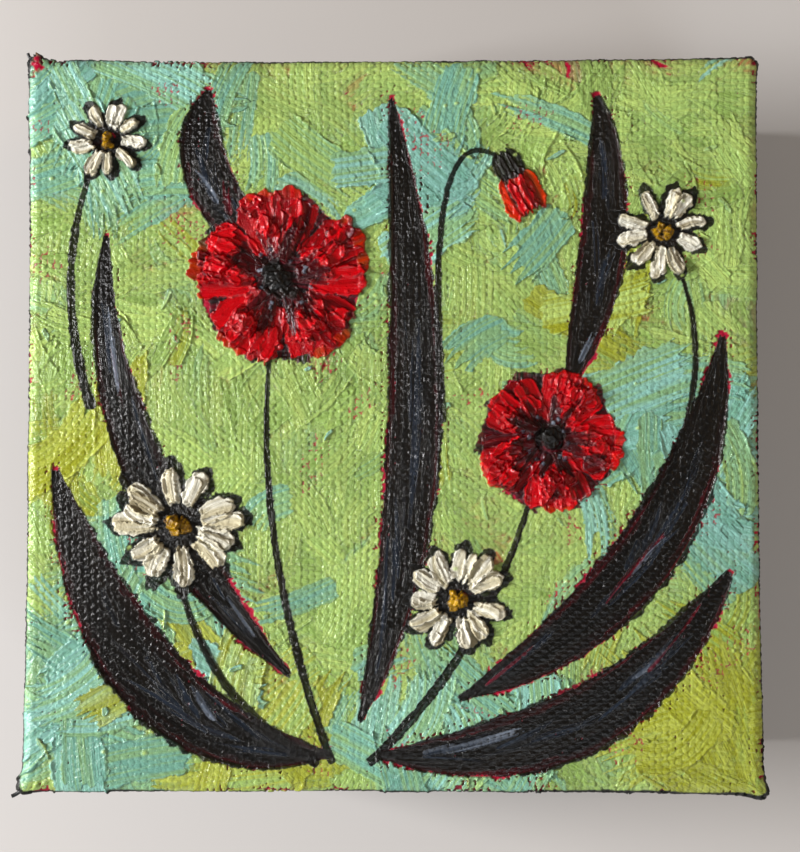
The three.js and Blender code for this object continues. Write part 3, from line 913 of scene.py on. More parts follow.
def shaped(points):
    """Turns places on the square block into places on the stretched cloth."""
    points = np.array(points, float)
    across = points[..., :2]
    past = np.maximum(np.abs(across) - (HALF - CORNER_ROUND), 0)
    reach = np.maximum(np.hypot(past[..., 0], past[..., 1]), 1e-6)
    rounding = past * (past.max(-1) / reach - 1)[..., None]
    share = np.minimum(np.abs(across) / HALF, 1)
    bow = BOW * share**6 * (1 - share[..., ::-1] ** 2)
    across += np.sign(across) * (rounding - bow)
    for corner, outwards in EARS:
        away = across - np.array(corner) * HALF
        strength = np.exp(-(away**2).sum(-1) / EAR_SPREAD**2)
        strength = strength * np.exp(-np.maximum(FACE_Z - EAR_TOP - points[..., 2], 0) / EAR_DEPTH)
        across += strength[..., None] * np.array(outwards)
    return points


def stretched(x, y, height):
    return shaped(bend_over(x, y, height))


# %% Height of the paint on the cloth
PAINT_BASE = 0.06
height = PAINT_BASE + thickness + WEAVE_HEIGHT * weave * (1 - 0.9 * filled)
height = RIM_FILM + (height - RIM_FILM) * rise(from_rim, 0, 0.9)
top = stretched(sheet_x, sheet_y, height)
facing = np.cross(np.gradient(top, axis=1), np.gradient(top, axis=0))
facing /= np.linalg.norm(facing, axis=-1, keepdims=True)
print(f"highest point {top[..., 2].max():.2f} mm")

# %% [markdown]
# ## Making meshes
#
# One helper stores points and faces as a Blender mesh, and takes attributes with them. Filling the
# arrays in one call each is much faster than adding faces one by one.

# %% Mesh helper
def store(name, points, faces, material, smooth=True):
    """A new piece from points in mm and a list of arrays of faces, all of one array alike in corners."""
    mesh = bpy.data.meshes.new(name)
    corners = np.concatenate([np.asarray(group, np.int32).ravel() for group in faces])
    counts = np.concatenate([np.full(len(group), len(group[0]), np.int32) for group in faces])
    mesh.vertices.add(len(points))
    mesh.vertices.foreach_set("co", (np.asarray(points) * MM).astype(np.float32).ravel())
    mesh.loops.add(len(corners))
    mesh.loops.foreach_set("vertex_index", corners)
    mesh.polygons.add(len(counts))
    mesh.polygons.foreach_set("loop_start", (np.cumsum(counts) - counts).astype(np.int32))
    mesh.polygons.foreach_set("use_smooth", np.full(len(counts), smooth))
    mesh.update(calc_edges=True)
    mesh.materials.append(material)
    piece = bpy.data.objects.new(name, mesh)
    bpy.context.scene.collection.objects.link(piece)
    return piece


def keep_values(piece, name, values, kind):
    """Stores one value for each point of a piece, under a name that its material reads."""
    field = {"FLOAT": "value", "FLOAT_COLOR": "color", "FLOAT_VECTOR": "vector"}[kind]
    layer = piece.data.attributes.new(name, kind, "POINT")
    layer.data.foreach_set(field, np.asarray(values, np.float32).ravel())


# %% [markdown]
# ## Building materials
#
# A material is a chain of nodes. Small helpers keep the chains short to read. One starts a material
# with its shader, one sets or links a node's inputs, one adds a node, and the rest are the steps
# that come back: arithmetic, noise, a range, a blend of two colours and a raised surface.

# %% Material helpers
def new_material(name):
    """A material with its shader, and the tree that they are in."""
    material = bpy.data.materials.new(name)
    material.use_nodes = True
    return material, material.node_tree, material.node_tree.nodes["Principled BSDF"]


def feed(tree, made, inputs):
    """Gives a node its inputs. Each is a value, or the output socket that it is linked to."""
    for name, value in inputs.items():
        if isinstance(value, bpy.types.NodeSocket):
            tree.links.new(value, made.inputs[name])
        else:
            made.inputs[name].default_value = (*value, 1) if isinstance(value, np.ndarray) else value


def node(tree, kind, inputs=None, **settings):
    """Adds a node with its settings and inputs."""
    made = tree.nodes.new(kind)
    for name, value in settings.items():
        setattr(made, name, value)
    feed(tree, made, inputs or {})
    return made


def calc(tree, operation, first, second=0.0):
    """One step of arithmetic."""
    return node(tree, "ShaderNodeMath", {0: first, 1: second}, operation=operation).outputs[0]


def split(tree, vector):
    """The X, Y and Z of a vector."""
    return node(tree, "ShaderNodeSeparateXYZ", {"Vector": vector}).outputs


def joined(tree, x=0.0, y=0.0, z=0.0):
    """A vector from its X, Y and Z."""
    return node(tree, "ShaderNodeCombineXYZ", {"X": x, "Y": y, "Z": z}).outputs[0]


def noise(tree, place, scale, detail=2.0, stretch=(1, 1, 1)):
    """A noise value, drawn finer or longer along each direction."""
    vector = node(tree, "ShaderNodeVectorMath", {0: place, 1: stretch}, operation="MULTIPLY").outputs[0]
    made = node(tree, "ShaderNodeTexNoise", {"Vector": vector, "Scale": scale, "Detail": detail})
    return made.outputs["Fac"]


def ramp(tree, value, low, high, to_low=0.0, to_high=1.0):
    """A value mapped from one range to another, and held inside it."""
    return node(tree, "ShaderNodeMapRange", {"Value": value, "From Min": low, "From Max": high,
                                             "To Min": to_low, "To Max": to_high}).outputs["Result"]


def blend(tree, share, first, second):
    """A colour between two."""
    made = node(tree, "ShaderNodeMix", {"Factor": share, 6: first, 7: second}, data_type="RGBA")
    return made.outputs[2]


def raise_surface(tree, shader, height, depth_mm):
    """Raises the shader's surface by a height from 0 to 1, times a depth."""
    made = node(tree, "ShaderNodeBump", {"Height": height, "Strength": 1.0, "Distance": depth_mm * MM})
    feed(tree, shader, {"Normal": made.outputs["Normal"]})


# %% [markdown]
# ## Oil paint
#
# The paint's colour and gloss come with the mesh. The material adds what is too fine for it: hair
# lines along the stroke, which follow the stored place along and across each stroke, and a faint
# grain of pigment. The hair lines also make the colour lighter on their ridges and darker in the
# grooves between them, partly as streaks of paint and partly as painted shade. The crimson wash is
# the dullest and the thick reds are glossy, so roughness falls as the stored gloss rises.

# %% Paint material
oil_paint, tree, shader = new_material("oil_paint")
paint, shine, brush = (node(tree, "ShaderNodeAttribute", attribute_name=name).outputs
                       for name in ("paint", "gloss", "brush"))
hairs = node(tree, "ShaderNodeTexNoise", {"Vector": brush["Vector"], "Scale": 1.0, "Detail": 3.0,
                                          "Roughness": 0.6}).outputs["Fac"]
grain = noise(tree, node(tree, "ShaderNodeTexCoord").outputs["Object"], 4200.0)
relief = calc(tree, "ADD", calc(tree, "MULTIPLY", hairs, 0.8), calc(tree, "MULTIPLY", grain, 0.5))
raise_surface(tree, shader, relief, 0.14)

# The hair lines lighten the colour on their ridges and darken it in the grooves: partly streaks of paint,
# partly painted shade.
streaked_and_hair_shaded = node(tree, "ShaderNodeHueSaturation", {
    "Color": paint["Color"], "Saturation": 1.04, "Value": ramp(tree, hairs, 0.3, 0.7, 0.88, 1.12)})
dull = ramp(tree, shine["Fac"], 0.0, 1.0, 0.72, 0.08)
feed(tree, shader, {
    "Base Color": streaked_and_hair_shaded.outputs["Color"], "Specular IOR Level": 0.36,
    "Roughness": calc(tree, "ADD", dull, calc(tree, "MULTIPLY", grain, 0.04))})

# %% [markdown]
# ## The painted tiles
#
# Each tile takes its share of the samples as its upper side. A coarse sheet under it and a narrow
# wall round it close it to a solid slab of paint. Neighbours share their border samples, and the
# normals are worked out on the whole sheet and handed to the tiles, so no seam shows.

# %% Tiles
SKIP = 30
FOOT_MM = 0.02
HAIRS_ACROSS, HAIRS_ALONG = 5, 0.35


def wall(rim, foot):
    """Triangles between a fine border and the coarse one below it, with SKIP cells to one."""
    made = []
    for step in range(len(foot) - 1):
        first, middle, last = step * SKIP, step * SKIP + SKIP // 2, (step + 1) * SKIP
        made += [(rim[k], foot[step], rim[k + 1]) for k in range(first, middle)]
        made.append((rim[middle], foot[step], foot[step + 1]))
        made += [(rim[k], foot[step + 1], rim[k + 1]) for k in range(middle, last)]
    return made


def quads(index):
    """Four-cornered faces over a grid of point numbers, wound anticlockwise from above."""
    return np.stack([index[:-1, :-1], index[:-1, 1:], index[1:, 1:], index[1:, :-1]], -1).reshape(-1, 4)


def even_grid(count):
    """Places from 0 to 1, evenly spaced in rows."""
    steps = np.linspace(0, 1, count)
    return np.stack(np.meshgrid(steps, steps), -1).reshape(-1, 2)


def bake_map(piece, count, foot_count):
    """A UV map with the painted side over nearly all of it, and the rest in a strip below."""
    plane = np.concatenate([even_grid(count), even_grid(foot_count)])
    corners = np.empty(len(piece.data.loops), np.int32)
    piece.data.loops.foreach_get("vertex_index", corners)
    place = plane[corners] * [0.98, 0.03] + 0.01
    painted = 4 * (count - 1) ** 2
    place[:painted] = plane[corners[:painted]] * [0.98, 0.93] + [0.01, 0.06]
    layer = piece.data.uv_layers.new(name="OFBake")
    layer.data.foreach_set("uv", place.astype(np.float32).ravel())


def tile(name, row, column):
    """One slab of paint, with its colours, its gloss and its strokes."""
    rows = slice(row * TILE_CELLS, (row + 1) * TILE_CELLS + 1)
    columns = slice(column * TILE_CELLS, (column + 1) * TILE_CELLS + 1)
    inner = slice(rows.start, rows.stop, SKIP), slice(columns.start, columns.stop, SKIP)
    foot_points = stretched(sheet_x[inner], sheet_y[inner], np.full_like(sheet_x[inner], FOOT_MM))
    index = np.arange((TILE_CELLS + 1) ** 2).reshape(TILE_CELLS + 1, -1)
    foot = np.arange(foot_points[..., 0].size).reshape(foot_points.shape[:2]) + index.size
    walls = (wall(index[0][::-1], foot[0][::-1]) + wall(index[:, -1][::-1], foot[:, -1][::-1])
             + wall(index[-1], foot[-1]) + wall(index[:, 0], foot[:, 0]))
    points = np.concatenate([top[rows, columns].reshape(-1, 3), foot_points.reshape(-1, 3)])
    piece = store(name, points, [quads(index), quads(foot)[:, ::-1], np.array(walls)], oil_paint)

    def with_foot(values, below):
        """The tile's share of some values, and one value for all of its underside."""
        upper = values[rows, columns].reshape(index.size, -1)
        return np.concatenate([upper, np.tile(below, (foot.size, 1))])

    bake_map(piece, TILE_CELLS + 1, len(foot))
    piece.data.normals_split_custom_set_from_vertices(with_foot(facing, [0.0, 0.0, -1.0]))
    shown = with_foot(colour, CRIMSON)
    keep_values(piece, "paint", np.column_stack([shown, np.ones(len(shown))]), "FLOAT_COLOR")
    keep_values(piece, "gloss", with_foot(gloss, [0.0]), "FLOAT")
    across = with_foot(stroke_across, [0.0]) * HAIRS_ACROSS
    along = with_foot(stroke_along, [0.0]) * HAIRS_ALONG
    keep_values(piece, "brush", np.column_stack([across, along, across * 0]), "FLOAT_VECTOR")
    return piece


ROWS = ("bottom", "middle", "top")
COLUMNS = ("left", "centre", "right")
tiles = {(row, column): tile(f"paint_{ROWS[row]}_{COLUMNS[column]}", row, column)
         for row in range(TILES) for column in range(TILES)}
print(f"{len(tiles)} tiles of {2 * TILE_CELLS**2} triangles")

# %% [markdown]
# ## Which tile stands for which solid
#
# The solids of the paint are hidden, and each tile stands for the ones whose middle it holds.

# %% Tiles take over from the solids
PAINT_WORDS = ("ground", "poppy", "daisy", "bud", "leaf", "stem")


def tile_under(name):
    """The row and column of the tile that holds a solid's middle."""
    low, high = box_mm(name)
    middle = np.clip(((low + high) / 2 + HALF) / (2 * HALF) * TILES, 0, TILES - 1)
    return int(middle[1]), int(middle[0])


stands_for = {key: [] for key in tiles}
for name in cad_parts:
    if name.startswith(PAINT_WORDS):
        stands_for[tile_under(name)].append(name)
for key, piece in tiles.items():
    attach(piece, "root")
    if stands_for[key]:
        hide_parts(*stands_for[key])
print({f"{ROWS[row]}_{COLUMNS[column]}": len(names) for (row, column), names in stands_for.items()})

# %% [markdown]
# ## One piece of cloth
#
# The canvas is a single cut of cotton, so it is made as one sheet. The same square grid as the
# paint's, only coarser, covers the face and bends over its edges. From the border of that grid,
# rings of points run on: down the sides, round the back edge, and in over the bars to the cut
# edge. The sheet is made twice, once at its outer and once at its inner surface, and a strip along
# the cut edge joins the two.
#
# Every corner of every face also keeps its place on the flat cloth, in a UV map. The weave is drawn
# there, so its threads run on over the edges as real ones do.

# %% Grid of the face and its border
FACE_CELLS = 66
ROLL_CELLS = 5

roll_line = np.linspace(FLAT, REACH, ROLL_CELLS + 1)[1:]
cloth_line = np.concatenate([-roll_line[::-1], np.linspace(-FLAT, FLAT, FACE_CELLS + 1), roll_line])
cells = len(cloth_line) - 1
cloth_x, cloth_y = np.meshgrid(cloth_line, cloth_line)
face_index = np.arange((cells + 1) ** 2).reshape(cells + 1, -1)
border = np.concatenate([face_index[0, :-1], face_index[:-1, -1], face_index[-1, :0:-1],
                         face_index[:0:-1, 0]])
print(f"{cells} cells a side, {len(border)} points round the border")

# %% Rings down the sides and under the bars
CLOTH_THICK = 0.45
RETURN_WIDTH = 14.0
WALL_ROWS, BACK_ROWS, RETURN_ROWS = 22, 5, 8

wall_foot = BACK_Z + ROLL
wall_height = FACE_Z - ROLL - wall_foot


def sheet_at(depth):
    """The face and the rings of the sheet at a depth under its outer surface."""
    face = bend_over(cloth_x, cloth_y, np.full_like(cloth_x, -depth)).reshape(-1, 3)
    rim, out, roll = face[border], HALF - depth, ROLL - depth
    rings = []

    def add_ring(level, inset):
        rings.append(np.column_stack([rim[:, :2] * (1 - inset / out), np.broadcast_to(level, len(rim))]))

    for share in np.linspace(0, 1, WALL_ROWS + 1)[1:]:
        add_ring(rim[:, 2] + (wall_foot - rim[:, 2]) * share, 0)
    for turn in np.linspace(0, math.pi / 2, BACK_ROWS + 1)[1:]:
        add_ring(wall_foot - roll * math.sin(turn), roll * (1 - math.cos(turn)))
    for inset in np.linspace(ROLL, RETURN_WIDTH, RETURN_ROWS + 1)[1:]:
        add_ring(BACK_Z + depth, inset - depth)
    return face, rings


down = wall_height * np.linspace(0, 1, WALL_ROWS + 1)
round_back = wall_height + ROLL * np.linspace(0, math.pi / 2, BACK_ROWS + 1)[1:]
inwards = round_back[-1] + np.linspace(0, RETURN_WIDTH - ROLL, RETURN_ROWS + 1)[1:]
ring_out = REACH + np.concatenate([down, round_back, inwards])
ring_scale = np.minimum(1, 1 - (ring_out - REACH - wall_height) / HALF)
CUT_EDGE = float(ring_out[-1])
print(f"{len(ring_out)} rings, and the cloth is {2 * CUT_EDGE:.0f} mm across when flat")

# %% [markdown]
# ## Folded corners
#
# A square of cloth is left over at every corner. The maker folds it into a long triangle, lays it
# over the next side so that the fold runs from the face's corner to the back, and tucks the rest
# under. A row of points across the triangle starts flat on one side, turns the corner, runs along
# the next side and ends in a round fold, and comes back inside the sheet. Rows like that, wider
# from the front to the back, make a closed wedge. All four flaps turn the same way round.

# %% One folded flap
FOLD_WIDTH = 15.0
FOLD_ROWS = 30
FLAP_START = 42.0
CORNER_RADIUS = 0.9


def flap_row(share):
    """Points across a flap, from the right side round the corner: share is 0 in front, 1 behind."""
    lump = float(wisps(np.float32(share * 5), np.float32(1.5), 33)) - 0.5
    stand = 0.08 + 0.85 * float(rise(share, 0.02, 0.3)) + 0.12 * lump
    fold = 0.08 + 0.3 * float(rise(share, 0.0, 0.12)) + 0.06 * lump
    width = 1.2 + (FOLD_WIDTH - 1.2) * share**0.9 + 0.5 * lump
    side, low = HALF + 0.05, HALF + stand
    turns = np.linspace(0, -math.pi / 2, 6)[:, None]
    corner = np.array([side, -low]) + CORNER_RADIUS * (np.hstack([np.cos(turns), np.sin(turns)]) + [-1, 1])
    fold_x = side - CORNER_RADIUS - width
    share_along = np.linspace(0, 1, 12)[1:, None]
    run = corner[-1] + share_along * (np.array([fold_x, -HALF - fold]) - corner[-1])
    run[:, 1] += 0.2 * stand * np.sin(math.pi * share_along[:, 0])
    turns = np.linspace(-math.pi / 2, -math.pi * 1.5, 6)[1:, None]
    edge = np.array([fold_x, -HALF - fold / 2]) + fold / 2 * np.hstack([np.cos(turns), np.sin(turns)])
    start = [[HALF - 0.1, -FLAP_START], [side, -FLAP_START - 2], [side, -FLAP_START - 4.5]]
    back = [[fold_x + 1.5, -HALF + 0.15], [HALF - 2.0, -HALF + 0.2], [HALF - 0.2, -HALF + 2.0], start[0]]
    return np.concatenate([start, corner, run, edge, back])


flap_places, flap_cloth = [], []
for share in np.linspace(0, 1, FOLD_ROWS):
    row = flap_row(share)
    level = FACE_Z - 1.2 - (FACE_Z - 1.2 - wall_foot) * share
    walked = np.concatenate([[0], np.cumsum(np.hypot(*np.diff(row, axis=0).T))])
    flap_places.append(np.column_stack([row, np.full(len(row), level)]))
    out_far = np.full(len(row), REACH + FACE_Z - ROLL - level)
    flap_cloth.append(np.column_stack([out_far, -FLAP_START - walked]))
beyond = np.abs(row).max(1) - FLAT
for turn in np.linspace(0, math.pi / 2, BACK_ROWS + 1)[1:]:
    closer = (FLAT + beyond * math.cos(turn)) / (FLAT + beyond)
    flap_places.append(np.column_stack([row * closer[:, None], wall_foot - beyond * math.sin(turn)]))
    flap_cloth.append(flap_cloth[-1] + [ROLL * math.pi / 2 / BACK_ROWS, 0])
flap_places = [np.tile(row.mean(0), (len(row), 1)) for row in flap_places[:1]] + flap_places
flap_places.append(np.tile(flap_places[-1].mean(0), (len(flap_places[-1]), 1)))
flap_cloth = [flap_cloth[0], *flap_cloth, flap_cloth[-1]]
flap_places, flap_cloth = np.array(flap_places), np.array(flap_cloth)
print(f"a flap has {flap_places.shape[0]} x {flap_places.shape[1]} points")

# %% [markdown]
# ## Folded layers under the back corners
#
# Where two turned edges meet behind a corner, the cloth lies in several layers. They stand about a
# millimetre above the rest, and the whole canvas rests on them. Each layer is a low cushion: its
# outline shrinks as it rises, and closes in the middle.

# %% Layers of one back corner
PAD_SIDE = 14.0
PAD_CUT = 7.0
TO_MIDDLE = 99
LAYER_RINGS = [(TO_MIDDLE, 0.95), (3.5, 0.92), (1.2, 1.0), (0.3, 0.93), (-0.1, 0.5), (0, 0), (TO_MIDDLE, 0)]


def layer(outline, base, top_z):
    """A flat layer of cloth with a rounded edge. Each ring has an inset in mm and a share of the height."""
    corners = np.array(outline + outline[:1], float)
    steps = np.linspace(0, 1, 9)[:-1, None]
    ring = np.concatenate([a + (b - a) * steps for a, b in zip(corners, corners[1:])])
    ring = (ring + np.roll(ring, 1, 0) + np.roll(ring, -1, 0)) / 3
    middle = ring.mean(0)
    reach = np.linalg.norm(ring - middle, axis=1, keepdims=True)
    places = []
    for inset, lift in LAYER_RINGS:
        flat = middle + (ring - middle) * np.maximum(1 - inset / reach, 0)
        lumps = 1 - 0.15 * wisps(flat[:, 0] / 4, flat[:, 1] / 4, 34) * (lift > 0.9)
        places.append(np.column_stack([flat, base + (top_z - base) * lift * lumps]))
    places = np.array(places)
    return np.concatenate([places, places[:, :1]], 1)


near_edge = FLAT - PAD_SIDE
LOWER = [(FLAT, -FLAT), (FLAT, -near_edge), (FLAT - PAD_CUT, -near_edge), (near_edge, -FLAT + PAD_CUT),
         (near_edge, -FLAT)]
UPPER = [(FLAT - 0.4, -FLAT + 0.3), (FLAT - 0.6, -near_edge - 2), (near_edge + 4.5, -FLAT + 0.3)]
LAYERS = [layer(LOWER, BACK_Z + 0.1, 0.5), layer(UPPER, 0.7, 0.02)]

# %% [markdown]
# ## The sheet put together
#
# Face, sides, flaps and layers go into one mesh. A small collector keeps the points, the faces and
# the flat places of all the parts, and turns a part by quarters for the other corners.

# %% Collecting the parts of the cloth
cloth_points, cloth_faces, cloth_flat, cloth_kind = [], [], [], []


def quarter(places, turns):
    """Turns places about the middle by quarter turns."""
    turned = np.array(places, float)
    for _ in range(turns):
        turned = np.concatenate([-turned[..., 1:2], turned[..., :1], turned[..., 2:]], -1)
    return turned


def add_faces(index, flat, kind=0):
    """Adds faces over a grid of point numbers, each corner's flat place, and which material they get."""
    cloth_faces.append(quads(index))
    cloth_kind.append(np.full(len(cloth_faces[-1]), kind, np.int32))
    cloth_flat.append(flat.reshape(-1, 2)[quads(np.arange(index.size).reshape(index.shape))].reshape(-1, 2))


def add_part(places, flat, turns=0):
    """Adds a grid of points with its faces."""
    first = sum(len(part) for part in cloth_points)
    cloth_points.append(quarter(places, turns).reshape(-1, 3))
    add_faces(np.arange(first, first + places[..., 0].size).reshape(places.shape[:2]), quarter(flat, turns))


flat_face = np.stack([cloth_x, cloth_y], -1)
flat_side = np.stack(np.broadcast_arrays(ring_scale[:, None] * cloth_line, -ring_out[:, None]), -1)
edges = []
for kind, depth in enumerate((0, CLOTH_THICK)):
    face, rings = sheet_at(depth)
    first = sum(len(part) for part in cloth_points)
    cloth_points.append(np.concatenate([face, *rings]))
    turned = slice(None, None, -1) if kind else slice(None)
    add_faces(first + face_index[:, turned], flat_face[:, turned], kind)
    ring_index = first + np.arange(len(rings) * len(border)).reshape(len(rings), -1) + face_index.size
    ring_index = np.concatenate([first + border[None], ring_index])
    edges.append(ring_index[-1])
    for side in range(4):
        columns = np.arange(side * cells, (side + 1) * cells + 1) % len(border)
        upside = slice(None) if kind else slice(None, None, -1)
        add_faces(ring_index[upside, columns], quarter(flat_side[upside], side), kind)
for side in range(4):
    columns = np.arange(side * cells, (side + 1) * cells + 1) % len(border)
    strip = np.stack([edges[1][columns], edges[0][columns]])
    add_faces(strip, quarter(flat_side[[-1, -1]], side), 1)
for turns in range(4):
    add_part(flap_places, flap_cloth, turns)
    for places in LAYERS:
        add_part(places, places[..., :2] + np.array([1, -1]) * (CUT_EDGE - FLAT + 3), turns)
print(f"{len(cloth_faces)} parts, {sum(len(faces) for faces in cloth_faces)} faces")

# %% [markdown]
# ## Painted and raw cotton
#
# On the sides the cotton is primed white and painted black, and the black runs a few millimetres
# round to the back, as far as the brush happened to reach. The turned part is white priming. Inside,
# the cotton is raw: cream threads with darker specks of husk, and painted shade in the low places
# between the threads. All three share one weave. It is built as the painted face's weave was, but
# from nodes, because this cloth has no fine mesh.

# %% The weave as nodes
def weave_nodes(tree, flat_place):
    """The height of the cotton at places on the flat cloth, in mm, from about 0 to 1."""
    parts = split(tree, flat_place)
    u = calc(tree, "DIVIDE", parts["X"], WARP_MM)
    v = calc(tree, "DIVIDE", parts["Y"], WEFT_MM)
    threads = []
    for along, across, phase in ((v, u, 0), (u, v, 1)):
        thread = calc(tree, "ROUND", across)
        off = calc(tree, "SUBTRACT", across, thread)
        back = calc(tree, "MULTIPLY", calc(tree, "MULTIPLY", off, off), -2.0)
        beat = calc(tree, "ADD", calc(tree, "ADD", along, thread), phase)
        wave = calc(tree, "COSINE", calc(tree, "MULTIPLY", beat, math.pi))
        threads.append(calc(tree, "ADD", calc(tree, "MULTIPLY", wave, 0.5), back))
    return calc(tree, "ADD", calc(tree, "MAXIMUM", *threads), 0.4)


# %% Black and white cotton
BLACK_REACH = 2.0
BLACK_FADE = 0.4
WAVER_MEAN = 3.2

sides_cloth, tree, shader = new_material("painted_cotton")
flat_place = node(tree, "ShaderNodeUVMap", uv_map="weave").outputs["UV"]
parts = split(tree, flat_place)
out_far = calc(tree, "MAXIMUM", calc(tree, "ABSOLUTE", parts["X"]), calc(tree, "ABSOLUTE", parts["Y"]))
height = weave_nodes(tree, flat_place)
waver = calc(tree, "MULTIPLY", noise(tree, flat_place, 0.22, 3.0), 6.0)
waver = calc(tree, "ADD", waver, calc(tree, "MULTIPLY", height, 0.8))
black_ends = REACH + wall_height + ROLL * math.pi / 2 + BLACK_REACH - WAVER_MEAN
is_black = ramp(tree, calc(tree, "SUBTRACT", out_far, waver), black_ends, black_ends - BLACK_FADE)
streak = ramp(tree, noise(tree, flat_place, 0.5, 4.0), 0.35, 0.7)
black_paint = blend(tree, streak, BLACK, hue(32, 30, 28))
black_paint = blend(tree, ramp(tree, height, 0.75, 0.95, 0.0, 0.3), black_paint, hue(54, 51, 48))
priming = blend(tree, noise(tree, flat_place, 0.3, 3.0), hue(232, 228, 218), hue(206, 199, 184))
feed(tree, shader, {
    "Base Color": blend(tree, is_black, priming, black_paint),
    "Roughness": ramp(tree, noise(tree, flat_place, 1.3, 3.0), 0.3, 0.7, 0.5, 0.72)})
raise_surface(tree, shader, height, 0.11)

# %% Raw cotton
raw_cotton, tree, shader = new_material("raw_cotton")
flat_place = node(tree, "ShaderNodeUVMap", uv_map="weave").outputs["UV"]
height = weave_nodes(tree, flat_place)
uneven = noise(tree, flat_place, 0.9, 3.0, (0.15, 1, 1))
threads = blend(tree, uneven, hue(214, 200, 170), hue(190, 174, 140))
# Painted shade: the colour darkens in the low places of the weave, between the threads.
threads = blend(tree, ramp(tree, height, 0.1, 0.8), hue(150, 134, 104), threads)
husk = ramp(tree, noise(tree, flat_place, 1.1, 4.0), 0.70, 0.74)
feed(tree, shader, {"Base Color": blend(tree, husk, threads, hue(96, 72, 46)), "Roughness": 0.9,
                    "Sheen Weight": 0.2})
raise_surface(tree, shader, height, 0.16)

# %% The cloth itself
SLACK = 0.22

places = np.concatenate(cloth_points)
soft = wisps(places[:, 0] / 15 + 40, places[:, 2] / 12 + places[:, 1] / 15 + 40, 31)
places[:, :2] *= 1 - (SLACK * soft * rise(FACE_Z - places[:, 2], 3, 10) / HALF)[:, None]
cloth = store("canvas_cloth", shaped(places), cloth_faces, sides_cloth)
cloth.data.materials.append(raw_cotton)
cloth.data.polygons.foreach_set("material_index", np.concatenate(cloth_kind))
weave_map = cloth.data.uv_layers.new(name="weave")
weave_map.data.foreach_set("uv", np.concatenate(cloth_flat).astype(np.float32).ravel())

JOIN_MM = 0.002
mesh = bmesh.new()
mesh.from_mesh(cloth.data)
bmesh.ops.remove_doubles(mesh, verts=mesh.verts, dist=JOIN_MM * MM)
mesh.to_mesh(cloth.data)
mesh.free()

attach(cloth, "root")
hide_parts("canvas")

# %% [markdown]
# ## Pine bars
#
# The four bars are the same: a length of planed pine, cut to 45 degrees at both ends. In front only
# a lip at the outer edge touches the cloth, and the wood falls away behind it, so that the bar
# doesn't print through the picture. The outline of the section is drawn with a radius for every
# corner, and then slid along the bar. Each end slice shears with the mitre.
#
# Wood grain follows the bar and not the room, so the mesh keeps each point's place in the plank.
# The four bars are cut from it one after another.

# %% Section of a bar
BAR_WIDTH = bar_high[1] - bar_low[1]
LIP_WIDTH = 3.0
LIP_DROP = 3.5
MITRE_GAP = 0.22


def rounded(outline, radii, points=5):
    """An outline with its corners rounded."""
    made = []
    for index, (corner, radius) in enumerate(zip(outline, radii)):
        corner = np.array(corner, float)
        before = np.array(outline[index - 1]) - corner
        after = np.array(outline[(index + 1) % len(outline)]) - corner
        start = corner + before / np.linalg.norm(before) * radius
        end = corner + after / np.linalg.norm(after) * radius
        made.append(curve(start, corner, end, points))
    return np.concatenate(made)


section = rounded([(0, bar_low[2]), (BAR_WIDTH, bar_low[2]), (BAR_WIDTH, bar_high[2] - LIP_DROP),
                   (LIP_WIDTH, bar_high[2]), (0, bar_high[2])], [1.1, 1.0, 0.6, 0.5, 1.1])
print(f"bar {BAR_WIDTH:.0f} mm wide, {bar_high[2] - bar_low[2]:.0f} mm deep, "
      f"{len(section)} points round it")

# %% Planed pine
HEART_MM = (22.0, 9.0)
RING_MM = 2.3

pine, tree, shader = new_material("planed_pine")
place = node(tree, "ShaderNodeAttribute", attribute_name="grain").outputs["Vector"]
bend = noise(tree, place, 1.0, 3.0, (0.012, 0.05, 0.05))
parts = split(tree, place)
from_heart = joined(tree, y=calc(tree, "ADD", parts["Y"], HEART_MM[0]),
                    z=calc(tree, "ADD", parts["Z"], HEART_MM[1]))
radius = node(tree, "ShaderNodeVectorMath", {0: from_heart}, operation="LENGTH").outputs["Value"]
radius = calc(tree, "ADD", radius, calc(tree, "MULTIPLY", bend, 9.0))
season = calc(tree, "FRACT", calc(tree, "DIVIDE", radius, RING_MM))
late = ramp(tree, season, 0.45, 0.95)
fibre = noise(tree, place, 1.0, 4.0, (0.12, 5.0, 5.0))
wood = blend(tree, late, hue(232, 204, 156), hue(200, 152, 96))
wood = blend(tree, ramp(tree, fibre, 0.35, 0.7, 0.0, 0.4), wood, hue(178, 132, 84))
feed(tree, shader, {"Base Color": wood, "Roughness": ramp(tree, late, 0, 1, 0.72, 0.55)})
saw = noise(tree, place, 1.0, 2.0, (1.6, 0.1, 0.1))
relief = calc(tree, "ADD", calc(tree, "MULTIPLY", fibre, 0.7), calc(tree, "MULTIPLY", saw, 0.3))
raise_surface(tree, shader, relief, 0.08)

# %% Four bars
SLICES = 25
CUT_EVERY_MM = 140


def make_bar(name, turns):
    """One bar, turned by quarters to its side, that knows each point's place in the plank."""
    reach = HALF - CLOTH - GAP - section[:, 0] - MITRE_GAP
    slices = []
    for share in np.linspace(-1, 1, SLICES):
        across = section[:, 0] - (HALF - CLOTH - GAP)
        slices.append(np.column_stack([share * reach, across, section[:, 1]]))
    places = np.array(slices)
    index = np.arange(places[..., 0].size).reshape(SLICES, -1)
    ring = np.concatenate([index, index[:, :1]], 1)
    piece = store(name, quarter(places.reshape(-1, 3), turns),
                  [quads(ring)[:, ::-1], index[:1], index[-1:, ::-1]], pine)
    in_plank = places.reshape(-1, 3) + [CUT_EVERY_MM * turns, HALF, 0]
    keep_values(piece, "grain", in_plank, "FLOAT_VECTOR")
    return piece


for turns, side in enumerate(("bottom", "right", "top", "left")):
    piece = make_bar(f"pine_bar_{side}", turns)
    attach(piece, "root")
    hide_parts(f"bar_{side}")

